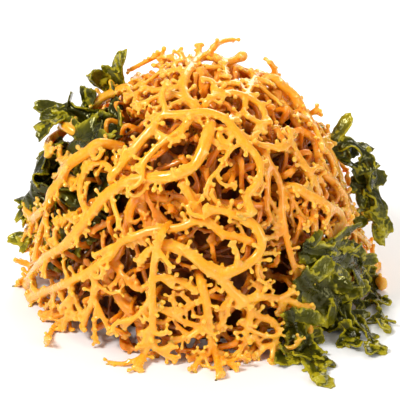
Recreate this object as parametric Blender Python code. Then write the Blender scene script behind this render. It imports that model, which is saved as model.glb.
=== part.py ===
"""Sea moss: a heap of gold, knobbly branching fronds, with flat green fronds held in it.

Each frond is a solid of its own. The routes of the fronds that show from the front are drawn by hand on a
slanted picture plane and dropped onto the dome that the heap fills. The fronds round the sides and back
wander over the dome by a seeded rule. All of them are then settled together, so that no two touch.

Routes and sizes are in millimetres. The solids are in metres, +Z up, standing on z = 0.
"""
import math
from collections import namedtuple

import bmesh
import bpy
import numpy as np
from mathutils import kdtree

MM = 0.001

# The heap: the half width, half depth and height of the dome that the outer fronds lie on
HEAP = np.array((92.0, 86.0, 138.0))
# The crowded heart of the heap, which everything else lies round, and the core that its strands stand out of
HEART = np.array((78.0, 73.0, 123.0))
CORE = np.array((67.0, 62.0, 112.0))
# The slant of the picture plane that the front routes are drawn on
VIEW_TILT = math.radians(26)

# Strands and blades
RING_STEP = 9.0
TWIG_STEP = 8.0
TWIG_SIDES = 4
KNOB_SIDES = 3
KNOB_RADIUS = 1.8
KNOB_NECK = 1.3
KNOB_SPACING = 43.0
# How far knobs stand out of their strand, how far on their roots and heads lean, as a share of the way to the
# strand's next point and as a length, and how uneven the steps between them are
KNOB_REACHES = (3.0, 5.0)
KNOB_ROOT = 0.4
KNOB_LEAN = 1.5
KNOB_UNEVEN = (0.7, 1.5)
# A strand thicker than the first of these has five sides, one thicker than the second four, and others three.
# How much the last ring of a strand swells
SIDE_RADII = (2.5, 1.65)
END_SWELL = 1.12
BLADE_THICKNESS = 1.0
BLADE_STEP = 9.0
# A blade wider than this has a fourth column of points. How high its waves stand, how far its edge
# ruffles, and how far round both go from one row to the next and from its middle to its edge
WIDE_BLADE = 7.5
BLADE_WAVE = 0.42
BLADE_WAVE_TURN = 2.3
BLADE_WAVE_SHIFT = 1.3
BLADE_RUFFLE = 0.28
BLADE_RUFFLE_TURN = 2.6
BLADE_RUFFLE_SHIFT = 2.0
# The lowest that a blade's middle is laid, and how strongly the front blades turn to face the picture plane
BLADE_FLOOR = 1.5
BLADE_FACING = 1.4

# Settling: the least gap between two fronds, and how closely they are sampled
GAP = 0.7
HEART_GAP = 1.0
SAMPLE_STEP = 2.0
BLADE_SAMPLE_STEP = 2.5
BLADE_MARGIN = 0.6
# How much higher each limb lies in the order of the layers than the one before it
LAYER_STEP = 0.01
# The thickest strand, and how far two fronds may close up before the near pairs are found again
THICKEST = 3.6
SLACK = 1.5
ROUNDS = 320
REFRESH = 8
# How hard touching fronds push apart, and how much of that lifts the upper one out of the heap
PUSH = 1.5
LAYERING = 2.5
# How hard a frond keeps its lengths, and how strongly it is drawn home, in the first part of the rounds
PULL = 1.4
HOMING = 0.02
HOMING_SHARE = 0.6
# How stiff a strand and a blade are to stretching, shearing and bending
STRETCH = 1.0
SHEAR = 0.6
STRAND_BEND = 0.35
BLADE_BEND = 0.4

Strand = namedtuple("Strand", "root_radius tip_radius lift route")
Blade = namedtuple("Blade", "lift half_widths route")
Sample = namedtuple("Sample", "corners weights radius frond layer")

# The gold fronds that show from the front. The first strand carries the others, and each of those starts
# from the nearest place on a strand before it. A route's points are (across, up) on the picture plane.
GOLD_FRONDS = {
    "gold_frond_long_curve": [
        Strand(3.5, 2.6, 5, [(6, 94), (3, 83), (-2, 72), (-6, 69), (-13, 65), (-22, 64), (-33, 64), (-42, 60),
                             (-52, 53), (-63, 40), (-74, 27), (-85, 20), (-94, 11), (-99, 3)]),
        Strand(2.2, 1.9, 3, [(-60, 42), (-66, 53), (-66, 61), (-62, 69), (-54, 72), (-49, 68), (-47, 63)]),
        Strand(1.7, 1.4, 4, [(-66, 61), (-72, 62)]),
        Strand(1.8, 1.5, 2, [(-63, 40), (-72, 41), (-78, 40)]),
        Strand(2.0, 1.5, 2, [(-74, 27), (-81, 24), (-86, 30), (-96, 37)]),
        Strand(1.7, 1.3, 1, [(-85, 20), (-92, 22), (-97, 23)]),
        Strand(1.7, 1.3, 1, [(-90, 15), (-98, 14), (-103, 16)]),
    ],
    "gold_frond_front_arch": [
        Strand(2.6, 2.3, 7, [(-48, 63), (-44, 69), (-40, 74), (-34, 82), (-27, 90), (-22, 97), (-17, 98),
                             (-8, 98), (1, 99), (10, 97), (16, 93), (21, 87), (26, 80), (31, 75), (33, 70),
                             (33, 64), (31, 60), (27, 56), (25, 51), (27, 45)]),
        Strand(2.2, 1.8, 6, [(-6, 98), (-11, 89), (-17, 85), (-24, 80), (-29, 74), (-33, 68)]),
        Strand(1.9, 1.6, 5, [(22, 87), (32, 82), (38, 81), (43, 79), (48, 81), (51, 85), (50, 89)]),
        Strand(1.4, 1.3, 4, [(18, 90), (15, 78), (13, 70), (8, 66), (4, 60), (3, 54)]),
    ],
    "gold_frond_right_ring": [
        Strand(3.5, 3.0, 4, [(-22, 30), (-13, 27), (-6, 22), (1, 16), (10, 10), (16, 3), (23, -4)]),
        Strand(3.2, 2.2, 5, [(12, 9), (20, 14), (28, 18), (33, 25), (33, 32), (30, 37), (26, 41), (20, 43),
                             (10, 46), (4, 46)]),
        Strand(2.2, 1.9, 3, [(21, -1), (34, -2), (44, -3), (52, -5), (61, -9)]),
        Strand(1.7, 1.4, 3, [(52, -5), (57, -12), (61, -21)]),
        Strand(1.6, 1.4, 3, [(43, -3), (51, 1)]),
        Strand(1.6, 1.4, 2, [(42, -3), (46, -11)]),
        Strand(2.2, 1.7, 3, [(23, -5), (31, -12), (38, -14), (43, -20), (41, -26), (40, -36)]),
        Strand(1.7, 1.5, 2, [(41, -26), (34, -29), (30, -24)]),
        Strand(1.8, 1.4, 2, [(29, -11), (25, -24), (22, -34)]),
        Strand(1.7, 1.4, 2, [(16, 2), (15, -10), (10, -19)]),
        Strand(1.7, 1.5, 2, [(33, 18), (33, 9)]),
    ],
    "gold_frond_left_runner": [
        Strand(2.4, 2.7, 2, [(29, 28), (21, 31), (14, 32), (8, 36), (2, 41), (-8, 37), (-17, 34), (-26, 33),
                             (-35, 31), (-42, 29), (-52, 18), (-63, 11), (-74, 5), (-88, -1), (-96, -5)]),
        Strand(2.4, 2.2, 2, [(2, 41), (-2, 47), (-6, 54), (-9, 60)]),
        Strand(2.2, 1.7, 1, [(-57, 14), (-58, 4), (-60, -5), (-63, -11), (-74, -15), (-81, -19), (-85, -26)]),
        Strand(1.7, 1.4, 1, [(-81, 2), (-83, -5), (-86, -12)]),
        Strand(1.7, 1.4, 1, [(-71, 6), (-72, -6), (-72, -12)]),
        Strand(1.6, 1.4, 1, [(-63, -11), (-65, -19)]),
        Strand(1.6, 1.4, 1, [(-60, -6), (-50, -21)]),
    ],
    "gold_frond_inner_left": [
        Strand(2.6, 3.0, -6, [(-24, 62), (-29, 55), (-34, 50), (-37, 44), (-39, 37), (-45, 22), (-52, 10),
                              (-47, 1), (-41, -8), (-35, -12)]),
        Strand(3.0, 2.6, -8, [(-29, 55), (-28, 43), (-25, 36)]),
        Strand(1.9, 1.6, -3, [(-47, 16), (-43, 10), (-37, 4), (-34, 2), (-29, 4)]),
        Strand(2.4, 2.0, -8, [(-27, 58), (-20, 48), (-11, 44)]),
    ],
    "gold_frond_left_leg": [
        Strand(2.3, 2.0, 5, [(-20, 34), (-25, 16), (-26, 6), (-26, -4), (-26, -16), (-27, -25), (-30, -32),
                             (-34, -40)]),
        Strand(1.9, 1.6, 4, [(-27, -25), (-21, -33), (-14, -36)]),
        Strand(1.8, 1.5, 3, [(-26, -4), (-33, -11), (-41, -17)]),
        Strand(1.8, 1.5, 3, [(-26, 10), (-15, 9), (-8, 5), (-3, 3)]),
        Strand(1.5, 1.3, 3, [(-24, 22), (-29, 24), (-33, 18)]),
        Strand(1.5, 1.3, 3, [(-26, -20), (-32, -23)]),
    ],
    "gold_frond_right_leg": [
        Strand(2.6, 2.0, 3, [(0, 6), (3, -3), (5, -16), (6, -27), (9, -36), (11, -44)]),
        Strand(1.8, 1.4, 2, [(7, -30), (3, -35), (-3, -41)]),
        Strand(1.7, 1.4, 2, [(10, -36), (14, -38), (20, -41)]),
        Strand(1.9, 1.6, 1, [(5, -16), (-8, -16), (-15, -12), (-22, -8)]),
        Strand(1.8, 1.5, 1, [(4, -14), (-4, -22), (-14, -26)]),
        Strand(1.7, 1.4, 1, [(1, 1), (-5, -7), (-11, -11)]),
    ],
    "gold_frond_crown": [
        Strand(3.0, 2.2, 1, [(-1, 102), (-6, 106), (-9, 112), (-9, 118), (-6, 124), (-1, 130), (5, 132),
                             (11, 130), (15, 128), (21, 130), (24, 132)]),
        Strand(1.7, 1.4, 1, [(-1, 130), (0, 137)]),
        Strand(1.7, 1.4, 1, [(7, 132), (10, 138)]),
        Strand(1.7, 1.4, 3, [(13, 129), (15, 120)]),
        Strand(1.7, 1.5, 1, [(-9, 119), (-13, 128), (-18, 131), (-22, 129), (-21, 125), (-20, 121)]),
        Strand(1.4, 1.3, 0, [(-18, 131), (-24, 133)]),
        Strand(1.4, 1.3, 0, [(-11, 125), (-8, 129), (-11, 134)]),
        Strand(1.9, 1.5, 0, [(-10, 116), (-17, 113), (-24, 112), (-29, 113), (-33, 118), (-36, 121)]),
        Strand(1.6, 1.4, 0, [(-29, 113), (-35, 111), (-40, 108)]),
        Strand(1.8, 1.5, 2, [(-8, 111), (-16, 110), (-24, 108), (-32, 104)]),
    ],
    "gold_frond_crown_right": [
        Strand(2.4, 2.0, 1, [(3, 104), (8, 108), (14, 110), (21, 110), (28, 107), (34, 103), (36, 97),
                             (34, 91)]),
        Strand(1.9, 1.6, 1, [(7, 107), (7, 113), (14, 116), (19, 116)]),
        Strand(1.7, 1.4, 0, [(27, 107), (28, 114), (30, 119), (34, 123)]),
        Strand(1.6, 1.4, 0, [(29, 114), (34, 117), (38, 119), (43, 123)]),
        Strand(1.6, 1.4, 0, [(25, 108), (24, 100), (20, 96)]),
    ],
    "gold_frond_shoulder": [
        Strand(2.7, 2.4, 0, [(43, 115), (47, 110), (52, 104), (57, 98), (61, 92), (65, 86), (67, 78),
                             (67, 69), (74, 62), (79, 57), (83, 51), (83, 44)]),
        Strand(1.6, 1.4, 0, [(48, 109), (50, 114)]),
        Strand(1.6, 1.4, 0, [(52, 104), (57, 110)]),
        Strand(1.7, 1.4, 0, [(58, 96), (62, 100), (68, 105)]),
        Strand(1.6, 1.4, 0, [(62, 91), (71, 95)]),
        Strand(1.6, 1.4, 0, [(74, 62), (76, 67)]),
        Strand(1.7, 1.4, 0, [(82, 52), (89, 46), (96, 42)]),
    ],
    "gold_frond_right_slope": [
        Strand(2.7, 2.3, 1, [(50, 80), (54, 75), (59, 67), (64, 61), (67, 54), (66, 47), (64, 41), (64, 35),
                             (65, 29)]),
        Strand(1.8, 1.5, 0, [(52, 78), (46, 84), (42, 91)]),
        Strand(1.6, 1.4, 0, [(61, 65), (67, 62)]),
    ],
    "gold_frond_right_hollow": [
        Strand(2.2, 1.9, -1, [(33, 80), (36, 75), (41, 67), (45, 60), (45, 53), (45, 45), (46, 38),
                              (47, 32), (52, 22), (56, 12)]),
        Strand(1.9, 1.6, -3, [(40, 68), (37, 54), (37, 45), (41, 39), (45, 34)]),
        Strand(1.6, 1.4, -3, [(45, 57), (52, 51), (54, 46), (58, 40)]),
    ],
    "gold_frond_right_runner": [
        Strand(3.0, 2.3, 2, [(52, 58), (61, 53), (67, 49), (74, 45), (80, 40), (80, 35), (77, 30)]),
        Strand(1.8, 1.5, 1, [(80, 38), (88, 33), (96, 26)]),
        Strand(1.8, 1.5, 1, [(78, 32), (82, 22)]),
        Strand(1.8, 1.5, 0, [(71, 47), (70, 38), (72, 31)]),
    ],
}

# The green fronds that show from the front: straps along a route, with a half width at each of its points
GREEN_FRONDS = {
    "green_frond_upright": [
        Blade(-4, [4.5, 5.5, 4.5, 4.0, 1.6], [(-54, 98), (-53, 107), (-51, 114), (-48, 121), (-46, 128)]),
        Blade(-4, [2.2, 1.6, 1.2], [(-52, 112), (-56, 116), (-59, 120)]),
    ],
    "green_frond_left_fan": [
        Blade(-4, [8.0, 10.0, 8.0, 6.0, 2.0], [(-46, 84), (-58, 94), (-68, 99), (-77, 102), (-84, 100)]),
        Blade(-4, [3.0, 2.2, 1.3], [(-62, 96), (-64, 103), (-63, 108)]),
        Blade(-4, [3.0, 2.2, 1.3], [(-74, 99), (-82, 97), (-88, 94)]),
    ],
    "green_frond_left_lobe": [
        Blade(-2, [8.0, 12.0, 12.0, 9.0, 2.5], [(-52, 78), (-66, 82), (-80, 80), (-92, 74), (-102, 67)]),
        Blade(-2, [4.0, 3.0, 1.5], [(-80, 84), (-90, 87), (-98, 83)]),
        Blade(-2, [3.5, 3.0, 1.5], [(-76, 76), (-86, 70), (-92, 64)]),
    ],
    "green_frond_left_apron": [
        Blade(-3, [8.0, 12.0, 12.0, 8.0, 2.5], [(-62, 68), (-76, 60), (-88, 50), (-97, 39), (-103, 28)]),
        Blade(-2, [4.0, 3.0, 1.5], [(-84, 56), (-95, 55), (-104, 51)]),
        Blade(-2, [3.5, 3.0, 1.5], [(-90, 46), (-98, 46), (-103, 42)]),
    ],
    "green_frond_left_fold": [
        Blade(-8, [9.0, 13.0, 12.0, 8.0, 3.0], [(-54, 68), (-61, 54), (-66, 40), (-72, 28), (-78, 14)]),
    ],
    "green_frond_right_strap": [
        Blade(-3, [4.0, 5.0, 4.0, 3.0, 2.6, 1.5], [(68, 86), (78, 84), (86, 84), (93, 78), (98, 70),
                                                   (97, 62)]),
        Blade(-3, [3.0, 3.0, 1.5], [(78, 82), (84, 74), (92, 68)]),
    ],
    "green_frond_right_tail": [
        Blade(-3, [4.0, 5.0, 4.0, 3.0, 1.5], [(86, 62), (95, 58), (101, 53), (104, 46), (104, 38)]),
        Blade(-2, [3.0, 3.0, 1.5], [(93, 52), (98, 42), (103, 34)]),
    ],
    "green_frond_low_right": [
        Blade(1, [5.0, 8.0, 8.0, 6.0, 2.0], [(56, 24), (66, 21), (76, 20), (86, 17), (94, 10)]),
        Blade(1, [3.5, 3.0, 1.5], [(70, 25), (78, 28), (84, 26)]),
        Blade(1, [4.0, 3.0, 2.5, 1.5], [(86, 12), (96, 0), (101, -8), (103, -20)]),
    ],
    "green_frond_low_fan": [
        Blade(2, [6.0, 10.0, 11.0, 8.0, 2.5], [(54, 10), (64, 2), (74, -8), (80, -18), (83, -28)]),
        Blade(2, [4.0, 4.0, 3.0, 1.5], [(72, -4), (84, -14), (92, -22), (98, -31)]),
        Blade(2, [3.5, 3.0, 2.0], [(74, 4), (86, -4), (92, -10)]),
    ],
    "green_frond_low_front": [
        Blade(3, [4.0, 6.0, 6.0, 4.5, 1.6], [(48, -8), (52, -18), (57, -28), (61, -37), (65, -46)]),
        Blade(3, [3.0, 2.5, 1.4], [(54, -20), (62, -30), (68, -38)]),
        Blade(3, [3.0, 2.5, 1.4], [(52, -22), (49, -30), (49, -36)]),
    ],
}

# The fronds round the sides and back, laid by a seeded rule. A span is in degrees round the dome,
# counted from the right side by way of the back.
BACK_SEED = 41
BACK_FRONDS = 8
BACK_SPAN = (8.0, 186.0)
BACK_TWIGS = 4
BACK_RADII = (3.3, 2.4)
BACK_TWIG_RADII = (2.1, 1.6)
BACK_TWIG_LENGTHS = (26.0, 46.0)
# The low fronds lie further out, start lower and sweep round the dome, and the high ones lean a little
LOW_LIFT = 5.0
LOW_STARTS = (40.0, 50.0)
LOW_SWEEP = 62.0
HIGH_LIFT = 0.0
HIGH_STARTS = (62.0, 72.0)
HIGH_LEAN = 14.0
# How far both sway from side to side, in degrees, how often on their way down, and how far out their ends run
BACK_SWAY = (6.0, 11.0)
BACK_SWAYS = 1.3
BACK_RUN_OUT = 1.06
# Where twigs start, as shares of the stretch that each of them has, how far ahead they lean, and how much
# they wander at each of their turns
BACK_TWIG_STARTS = (0.1, 0.9)
BACK_TWIG_AHEAD = 0.8
BACK_TWIG_WANDER = 0.25
TURNS = 20
# How strongly what runs out along the floor is turned away from the heap
FLOOR_SPREAD = 0.6
BACK_GREEN = 4
BACK_GREEN_SPAN = (34.0, 165.0)
BACK_GREEN_LENGTH = 72.0
BACK_GREEN_WIDTHS = [5.0, 9.0, 11.0, 10.0, 8.0, 3.0]
BACK_GREEN_LIFT = -2.0
BACK_GREEN_STARTS = (34.0, 46.0)
BACK_GREEN_LEAN = 0.5
BACK_GREEN_WANDER = 0.2

# The heart: a lumpy core, and the crowded strands that arch out of it and lie over it. How far in the core's
# hollows are, as a share of its size, and how deep its strands root and how high they stand
HEART_NAME = "heart_tangle"
CORE_HOLLOW = 0.88
HEART_SEED = 15
HEART_LOOPS = 30
HEART_LOOP_RADIUS = 3.0
HEART_LOOP_SIDES = 3
HEART_LOOP_STEP = 19.0
HEART_LOOP_SWINGS = (22.0, 44.0)
HEART_LOOP_RISE = 26.0
HEART_LOOP_HEIGHTS = (4.0, 68.0)
HEART_LOOP_SCATTER = 10.0
HEART_ROOT_LIFT = -42.0
HEART_LOOP_LIFT = -9.0
# The feet: low strands that run down out of the heart and out along the floor, between the outer fronds. They
# are laid by an angle up the dome and a lift at each of their points
HEART_FEET = 8
HEART_FOOT_RADII = (2.9, 2.3)
HEART_FOOT_STEP = 14.0
HEART_FOOT_SCATTER = 9.0
HEART_FOOT_SWINGS = (12.0, 26.0)
HEART_FOOT_COURSE = ((13.0, -34.0), (6.0, -9.0), (0.0, 4.0))

KNOB_SEED = 7
# Successive turns by this angle, in degrees, never line up
GOLDEN_ANGLE = 137.5

GOLD_COLOUR = (0.90, 0.42, 0.05, 1.0)
GREEN_COLOUR = (0.13, 0.15, 0.01, 1.0)
HEART_COLOUR = (0.45, 0.14, 0.01, 1.0)

RIGHT = np.array((1.0, 0.0, 0.0))
UP = np.array((0.0, math.sin(VIEW_TILT), math.cos(VIEW_TILT)))
AWAY = np.array((0.0, math.cos(VIEW_TILT), -math.sin(VIEW_TILT)))


def unit(vector):
    return vector / np.maximum(np.linalg.norm(vector, axis=-1, keepdims=True), 1e-9)


def outward(place):
    """The direction that faces out of the dome at a place, or at each of several."""
    return unit(place / HEAP ** 2 + np.array((0.0, 0.0, 1e-4)))


def drop_on_heap(across, up, lift, radius):
    """The place on the dome, raised by lift, that lies behind a point of the picture plane."""
    size = HEAP + lift
    start = across * RIGHT + up * UP
    a = np.sum((AWAY / size) ** 2)
    b = 2 * np.sum(start * AWAY / size ** 2)
    c = np.sum((start / size) ** 2) - 1
    depth = (-b - math.sqrt(max(b * b - 4 * a * c, 0.0))) / (2 * a)
    place = start + depth * AWAY
    if place[2] < radius:
        place = start + (start[2] - radius) / math.sin(VIEW_TILT) * AWAY
    return place


def smooth_curve(route, step):
    """Points about one step apart on a smooth curve through the route's points."""
    route = np.array(route, float)
    ends = np.vstack((2 * route[0] - route[1], route, 2 * route[-1] - route[-2]))
    fine = []
    for before, start, end, after in zip(ends, ends[1:], ends[2:], ends[3:]):
        for t in np.linspace(0, 1, 12, endpoint=False):
            bend = (2 * before - 5 * start + 4 * end - after) * t * t
            twist = (3 * start - before - 3 * end + after) * t ** 3
            fine.append(0.5 * (2 * start + (end - before) * t + bend + twist))
    fine = np.array(fine + [route[-1]])
    travelled = np.concatenate(((0.0,), np.cumsum(np.linalg.norm(np.diff(fine, axis=0), axis=1))))
    stops = np.linspace(0, travelled[-1], max(2, round(travelled[-1] / step) + 1))
    return np.stack([np.interp(stops, travelled, fine[:, k]) for k in range(fine.shape[1])], axis=1)


def march(start, heading, length, lift, turns, radius):
    """A route that wanders over the dome from a start, and runs out along the floor once it is down."""
    route = [np.array(start, float)]
    heading = np.array(heading, float)
    for turn in turns[:max(2, round(length / RING_STEP))]:
        here = route[-1]
        normal = outward(here)
        heading = unit(heading - normal * heading.dot(normal))
        heading = unit(heading + turn * np.cross(normal, heading))
        there = here + RING_STEP * heading
        if here[2] > radius:
            there = there / np.linalg.norm(there / (HEAP + lift))
        if there[2] < radius:
            away = unit(np.array((here[0], here[1], 0.0)))
            there = here + RING_STEP * unit(np.array((heading[0], heading[1], 0.0)) + FLOOR_SPREAD * away)
            there[2] = radius
            heading = unit(there - here)
        route.append(there)
    return np.array(route)


def find_near_pairs(samples, places):
    """Pairs of samples on different fronds that are near enough to touch before the next search."""
    tree = kdtree.KDTree(len(places))
    for number, place in enumerate(places):
        tree.insert(place, number)
    tree.balance()
    pairs = []
    for number, (sample, place) in enumerate(zip(samples, places)):
        for _, other, _ in tree.find_range(place, sample.radius + THICKEST + GAP + SLACK):
            if other > number and samples[other].frond != sample.frond:
                pairs.append((number, other))
    return np.array(pairs or [(0, 0)]).T


def spread(count, indices, moves):
    """The sum of the moves that each of a number of points is given."""
    total = np.zeros((count, moves.shape[-1]))
    np.add.at(total, indices, moves)
    return total


class Tangle:
    """The points of every frond, the links that hold them together and the samples that keep them apart."""

    def __init__(self):
        self.points = []
        self.lowest = []
        self.links = []
        self.samples = []
        self.limbs = []

    def add_point(self, place, lowest):
        self.points.append(np.array(place, float))
        self.lowest.append(lowest)
        return len(self.points) - 1

    def link(self, stiffness, pairs):
        for a, b in pairs:
            self.links.append((a, b, stiffness))

    def limbs_of(self, frond):
        return [limb for limb in self.limbs if limb["frond"] == frond]

    def nearest_point(self, frond, place):
        """The point of a frond's limbs nearest to a place, with its neighbours along that limb."""
        best = None
        for limb in self.limbs_of(frond):
            spine = limb["spine"]
            for order, index in enumerate(spine):
                distance = np.linalg.norm(self.points[index] - place)
                if best is None or distance < best[0]:
                    best = (distance, index, spine[max(0, order - 1):order + 2])
        return best[1:]

    def add_strand(self, frond, places, radii, lift, root=None, sides=TWIG_SIDES):
        """A round strand through places, fused at its root to a point of its own frond."""
        indices = [] if root is None else [root[0]]
        for place, radius in list(zip(places, radii))[len(indices):]:
            indices.append(self.add_point(place, radius))
        self.link(STRETCH, zip(indices, indices[1:]))
        self.link(STRAND_BEND, zip(indices, indices[2:]))
        if root is not None:
            self.link(STRAND_BEND, [(indices[1], neighbour) for neighbour in root[1]])
        layer = lift + LAYER_STEP * len(self.limbs)
        for order, (a, b) in enumerate(zip(indices, indices[1:])):
            steps = math.ceil(np.linalg.norm(self.points[a] - self.points[b]) / SAMPLE_STEP)
            for part in np.linspace(0, 1, steps + 1):
                radius = radii[order] * (1 - part) + radii[order + 1] * part
                self.samples.append(Sample((a, b, a, a), (1 - part, part, 0, 0), radius, frond, layer))
        limb = {"frond": frond, "kind": "strand", "spine": indices, "radii": radii, "sides": sides}
        self.limbs.append(limb)

    def add_blade(self, frond, grid, lift, root=None):
        """A thin strap through a grid of places, sunk at its root into a blade of its own frond."""
        rows = [[self.add_point(place, BLADE_THICKNESS) for place in row] for row in grid]
        middle = len(rows[0]) // 2
        for row in rows:
            self.link(STRETCH, zip(row, row[1:]))
            self.link(BLADE_BEND, [(row[0], row[-1])])
        for row, following in zip(rows, rows[1:]):
            self.link(STRETCH, zip(row, following))
            self.link(SHEAR, zip(row, following[1:]))
            self.link(SHEAR, zip(row[1:], following))
        self.link(BLADE_BEND, [(row[middle], later[middle]) for row, later in zip(rows, rows[2:])])
        if root is not None:
            self.link(STRETCH, [(index, neighbour) for index in rows[0] + rows[1] for neighbour in root[1]])
        layer = lift + LAYER_STEP * len(self.limbs)
        for row, following in zip(rows, rows[1:]):
            for corners in zip(row, row[1:], following, following[1:]):
                self.sample_patch(frond, corners, layer)
        spine = [row[middle] for row in rows]
        self.limbs.append({"frond": frond, "kind": "blade", "spine": spine, "rows": rows})

    def sample_patch(self, frond, corners, layer):
        """Samples spread evenly over one four-cornered patch of a blade."""
        a, b, c, d = [self.points[corner] for corner in corners]
        rows = math.ceil(max(np.linalg.norm(c - a), np.linalg.norm(d - b)) / BLADE_SAMPLE_STEP)
        columns = math.ceil(max(np.linalg.norm(b - a), np.linalg.norm(d - c)) / BLADE_SAMPLE_STEP)
        radius = 0.5 * BLADE_THICKNESS + BLADE_MARGIN
        for down in np.linspace(0, 1, rows + 1):
            for over in np.linspace(0, 1, columns + 1):
                weights = ((1 - down) * (1 - over), (1 - down) * over, down * (1 - over), down * over)
                self.samples.append(Sample(corners, weights, radius, frond, layer))

    def settle(self):
        """Part the fronds until none touches another, the floor or the heart, and centre the heap.

        Returns the shift that the centring took off every point.
        """
        points = np.array(self.points)
        home = points.copy()
        count = len(points)
        lowest = np.array(self.lowest)[:, None]
        ends = np.array([link[:2] for link in self.links]).T
        hold = np.array([link[2] for link in self.links])[:, None]
        rest = np.linalg.norm(points[ends[0]] - points[ends[1]], axis=1)[:, None]
        share = spread(count, ends[0], hold) + spread(count, ends[1], hold)
        corners = np.array([sample.corners for sample in self.samples])
        weights = np.array([sample.weights for sample in self.samples])[:, :, None]
        radius = np.array([sample.radius for sample in self.samples])
        layer = np.array([sample.layer for sample in self.samples])
        free = np.ones((count, 1), bool)
        for limb in self.limbs_of(HEART_NAME):
            free[limb["spine"]] = False
        room = HEART + lowest + GAP + HEART_GAP
        for turn in range(ROUNDS):
            places = (points[corners] * weights).sum(axis=1)
            if turn % REFRESH == 0:
                first, second = find_near_pairs(self.samples, places)
                want = (radius[first] + radius[second] + GAP)[:, None]
                over = np.sign(layer[first] - layer[second])[:, None]
            apart = places[first] - places[second]
            distance = np.maximum(np.linalg.norm(apart, axis=1)[:, None], 1e-6)
            short = np.maximum(want - distance, 0.0)
            push = apart / distance + LAYERING * (short / want) * over * outward(places[first])
            push *= 0.5 * short / np.maximum(np.linalg.norm(push, axis=1)[:, None], 1e-6)
            touching = short[:, 0] > 0
            move, load = np.zeros((count, 3)), np.zeros((count, 1))
            for side, sign in ((first[touching], 1.0), (second[touching], -1.0)):
                move += spread(count, corners[side], sign * weights[side] * push[touching][:, None, :])
                load += spread(count, corners[side], weights[side])
            points += PUSH * move / np.maximum(load, 1.0)
            if turn < HOMING_SHARE * ROUNDS:
                points += HOMING * (home - points)
            for _ in range(2):
                span = points[ends[1]] - points[ends[0]]
                length = np.maximum(np.linalg.norm(span, axis=1)[:, None], 1e-6)
                pull = 0.5 * hold * span * (length - rest) / length
                points += PULL * (spread(count, ends[0], pull) - spread(count, ends[1], pull)) / share
            depth = np.linalg.norm(points / room, axis=1)[:, None]
            points = np.where(free & (depth < 1.0), points / np.maximum(depth, 0.05), points)
            points[:, 2:] = np.maximum(points[:, 2:], lowest)
        middle = 0.5 * ((points - lowest).min(axis=0) + (points + lowest).max(axis=0))
        points -= np.array((middle[0], middle[1], 0.0))
        self.points = points
        return middle


def tapered(root_radius, tip_radius, count):
    """Radii that thin evenly along a strand, with a last one that swells into a knob."""
    radii = list(np.linspace(root_radius, tip_radius, count))
    radii[-1] *= END_SWELL
    return radii


def sides_for(radius):
    """The number of flat sides that a strand of a radius has."""
    return 5 if radius > SIDE_RADII[0] else 4 if radius > SIDE_RADII[1] else 3


def lay_front_fronds(tangle):
    """Gold fronds on the routes drawn by hand, each strand after the first starting on one before it."""
    for name, strands in GOLD_FRONDS.items():
        for number, strand in enumerate(strands):
            route = [drop_on_heap(across, up, strand.lift, strand.root_radius) for across, up in strand.route]
            root = None
            if number:
                root = tangle.nearest_point(name, route[0])
                route[0] = tangle.points[root[0]]
            places = smooth_curve(route, TWIG_STEP if number else RING_STEP)
            radii = tapered(strand.root_radius, strand.tip_radius, len(places))
            sides = sides_for(strand.root_radius)
            tangle.add_strand(name, places, radii, strand.lift, root, sides)


def blade_grid(spine, half_widths, phase, facing):
    """Rows of places across a waved strap whose middle follows a spine, turned partly to face a direction."""
    grid = []
    for order, place in enumerate(spine):
        ahead = spine[min(order + 1, len(spine) - 1)] - spine[max(order - 1, 0)]
        normal = unit(outward(place) + facing)
        across = unit(np.cross(normal, ahead))
        half = half_widths[order]
        columns = (-1.0, 0.0, 1.0) if max(half_widths) < WIDE_BLADE else (-1.0, -0.4, 0.4, 1.0)
        row = []
        for column in columns:
            wave = math.sin(BLADE_WAVE_TURN * order + phase + BLADE_WAVE_SHIFT * column)
            ruffle = math.sin(BLADE_RUFFLE_TURN * order + phase + BLADE_RUFFLE_SHIFT * column)
            reach = half * column * (1.0 + BLADE_RUFFLE * ruffle)
            rise = BLADE_WAVE * half * wave * abs(column)
            row.append(place + across * reach + normal * rise)
        grid.append(row)
    return grid


def lay_blade(tangle, name, number, spine, half_widths, lift, facing):
    """One blade along a spine: the first of its frond, or one that starts on a blade before it."""
    root = None
    if number:
        root = tangle.nearest_point(name, spine[0])
        spine[0] = tangle.points[root[0]]
    spine = smooth_curve(spine, BLADE_STEP)
    stops = np.linspace(0, len(half_widths) - 1, len(spine))
    widths = np.interp(stops, range(len(half_widths)), half_widths)
    tangle.add_blade(name, blade_grid(spine, widths, number + len(name), facing), lift, root)


def lay_green_fronds(tangle):
    """Green fronds on the routes drawn by hand, turned to show their flat sides to the front."""
    for name, blades in GREEN_FRONDS.items():
        for number, blade in enumerate(blades):
            spine = [drop_on_heap(across, up, blade.lift, BLADE_FLOOR) for across, up in blade.route]
            lay_blade(tangle, name, number, spine, blade.half_widths, blade.lift, -BLADE_FACING * AWAY)


def place_on_dome(turn, height, lift):
    """The place on the dome at an angle round it and an angle up it, both in degrees."""
    a, h = math.radians(turn), math.radians(height)
    return (HEAP + lift) * np.array((math.cos(h) * math.cos(a), math.cos(h) * math.sin(a), math.sin(h)))


def wandering_turns(random, count, strength):
    """Gentle turns to left and right that drift from one to the next."""
    swings = random.normal(0.0, strength, count // 3 + 3)
    return np.interp(np.linspace(0, len(swings) - 1, count), range(len(swings)), swings)


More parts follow.
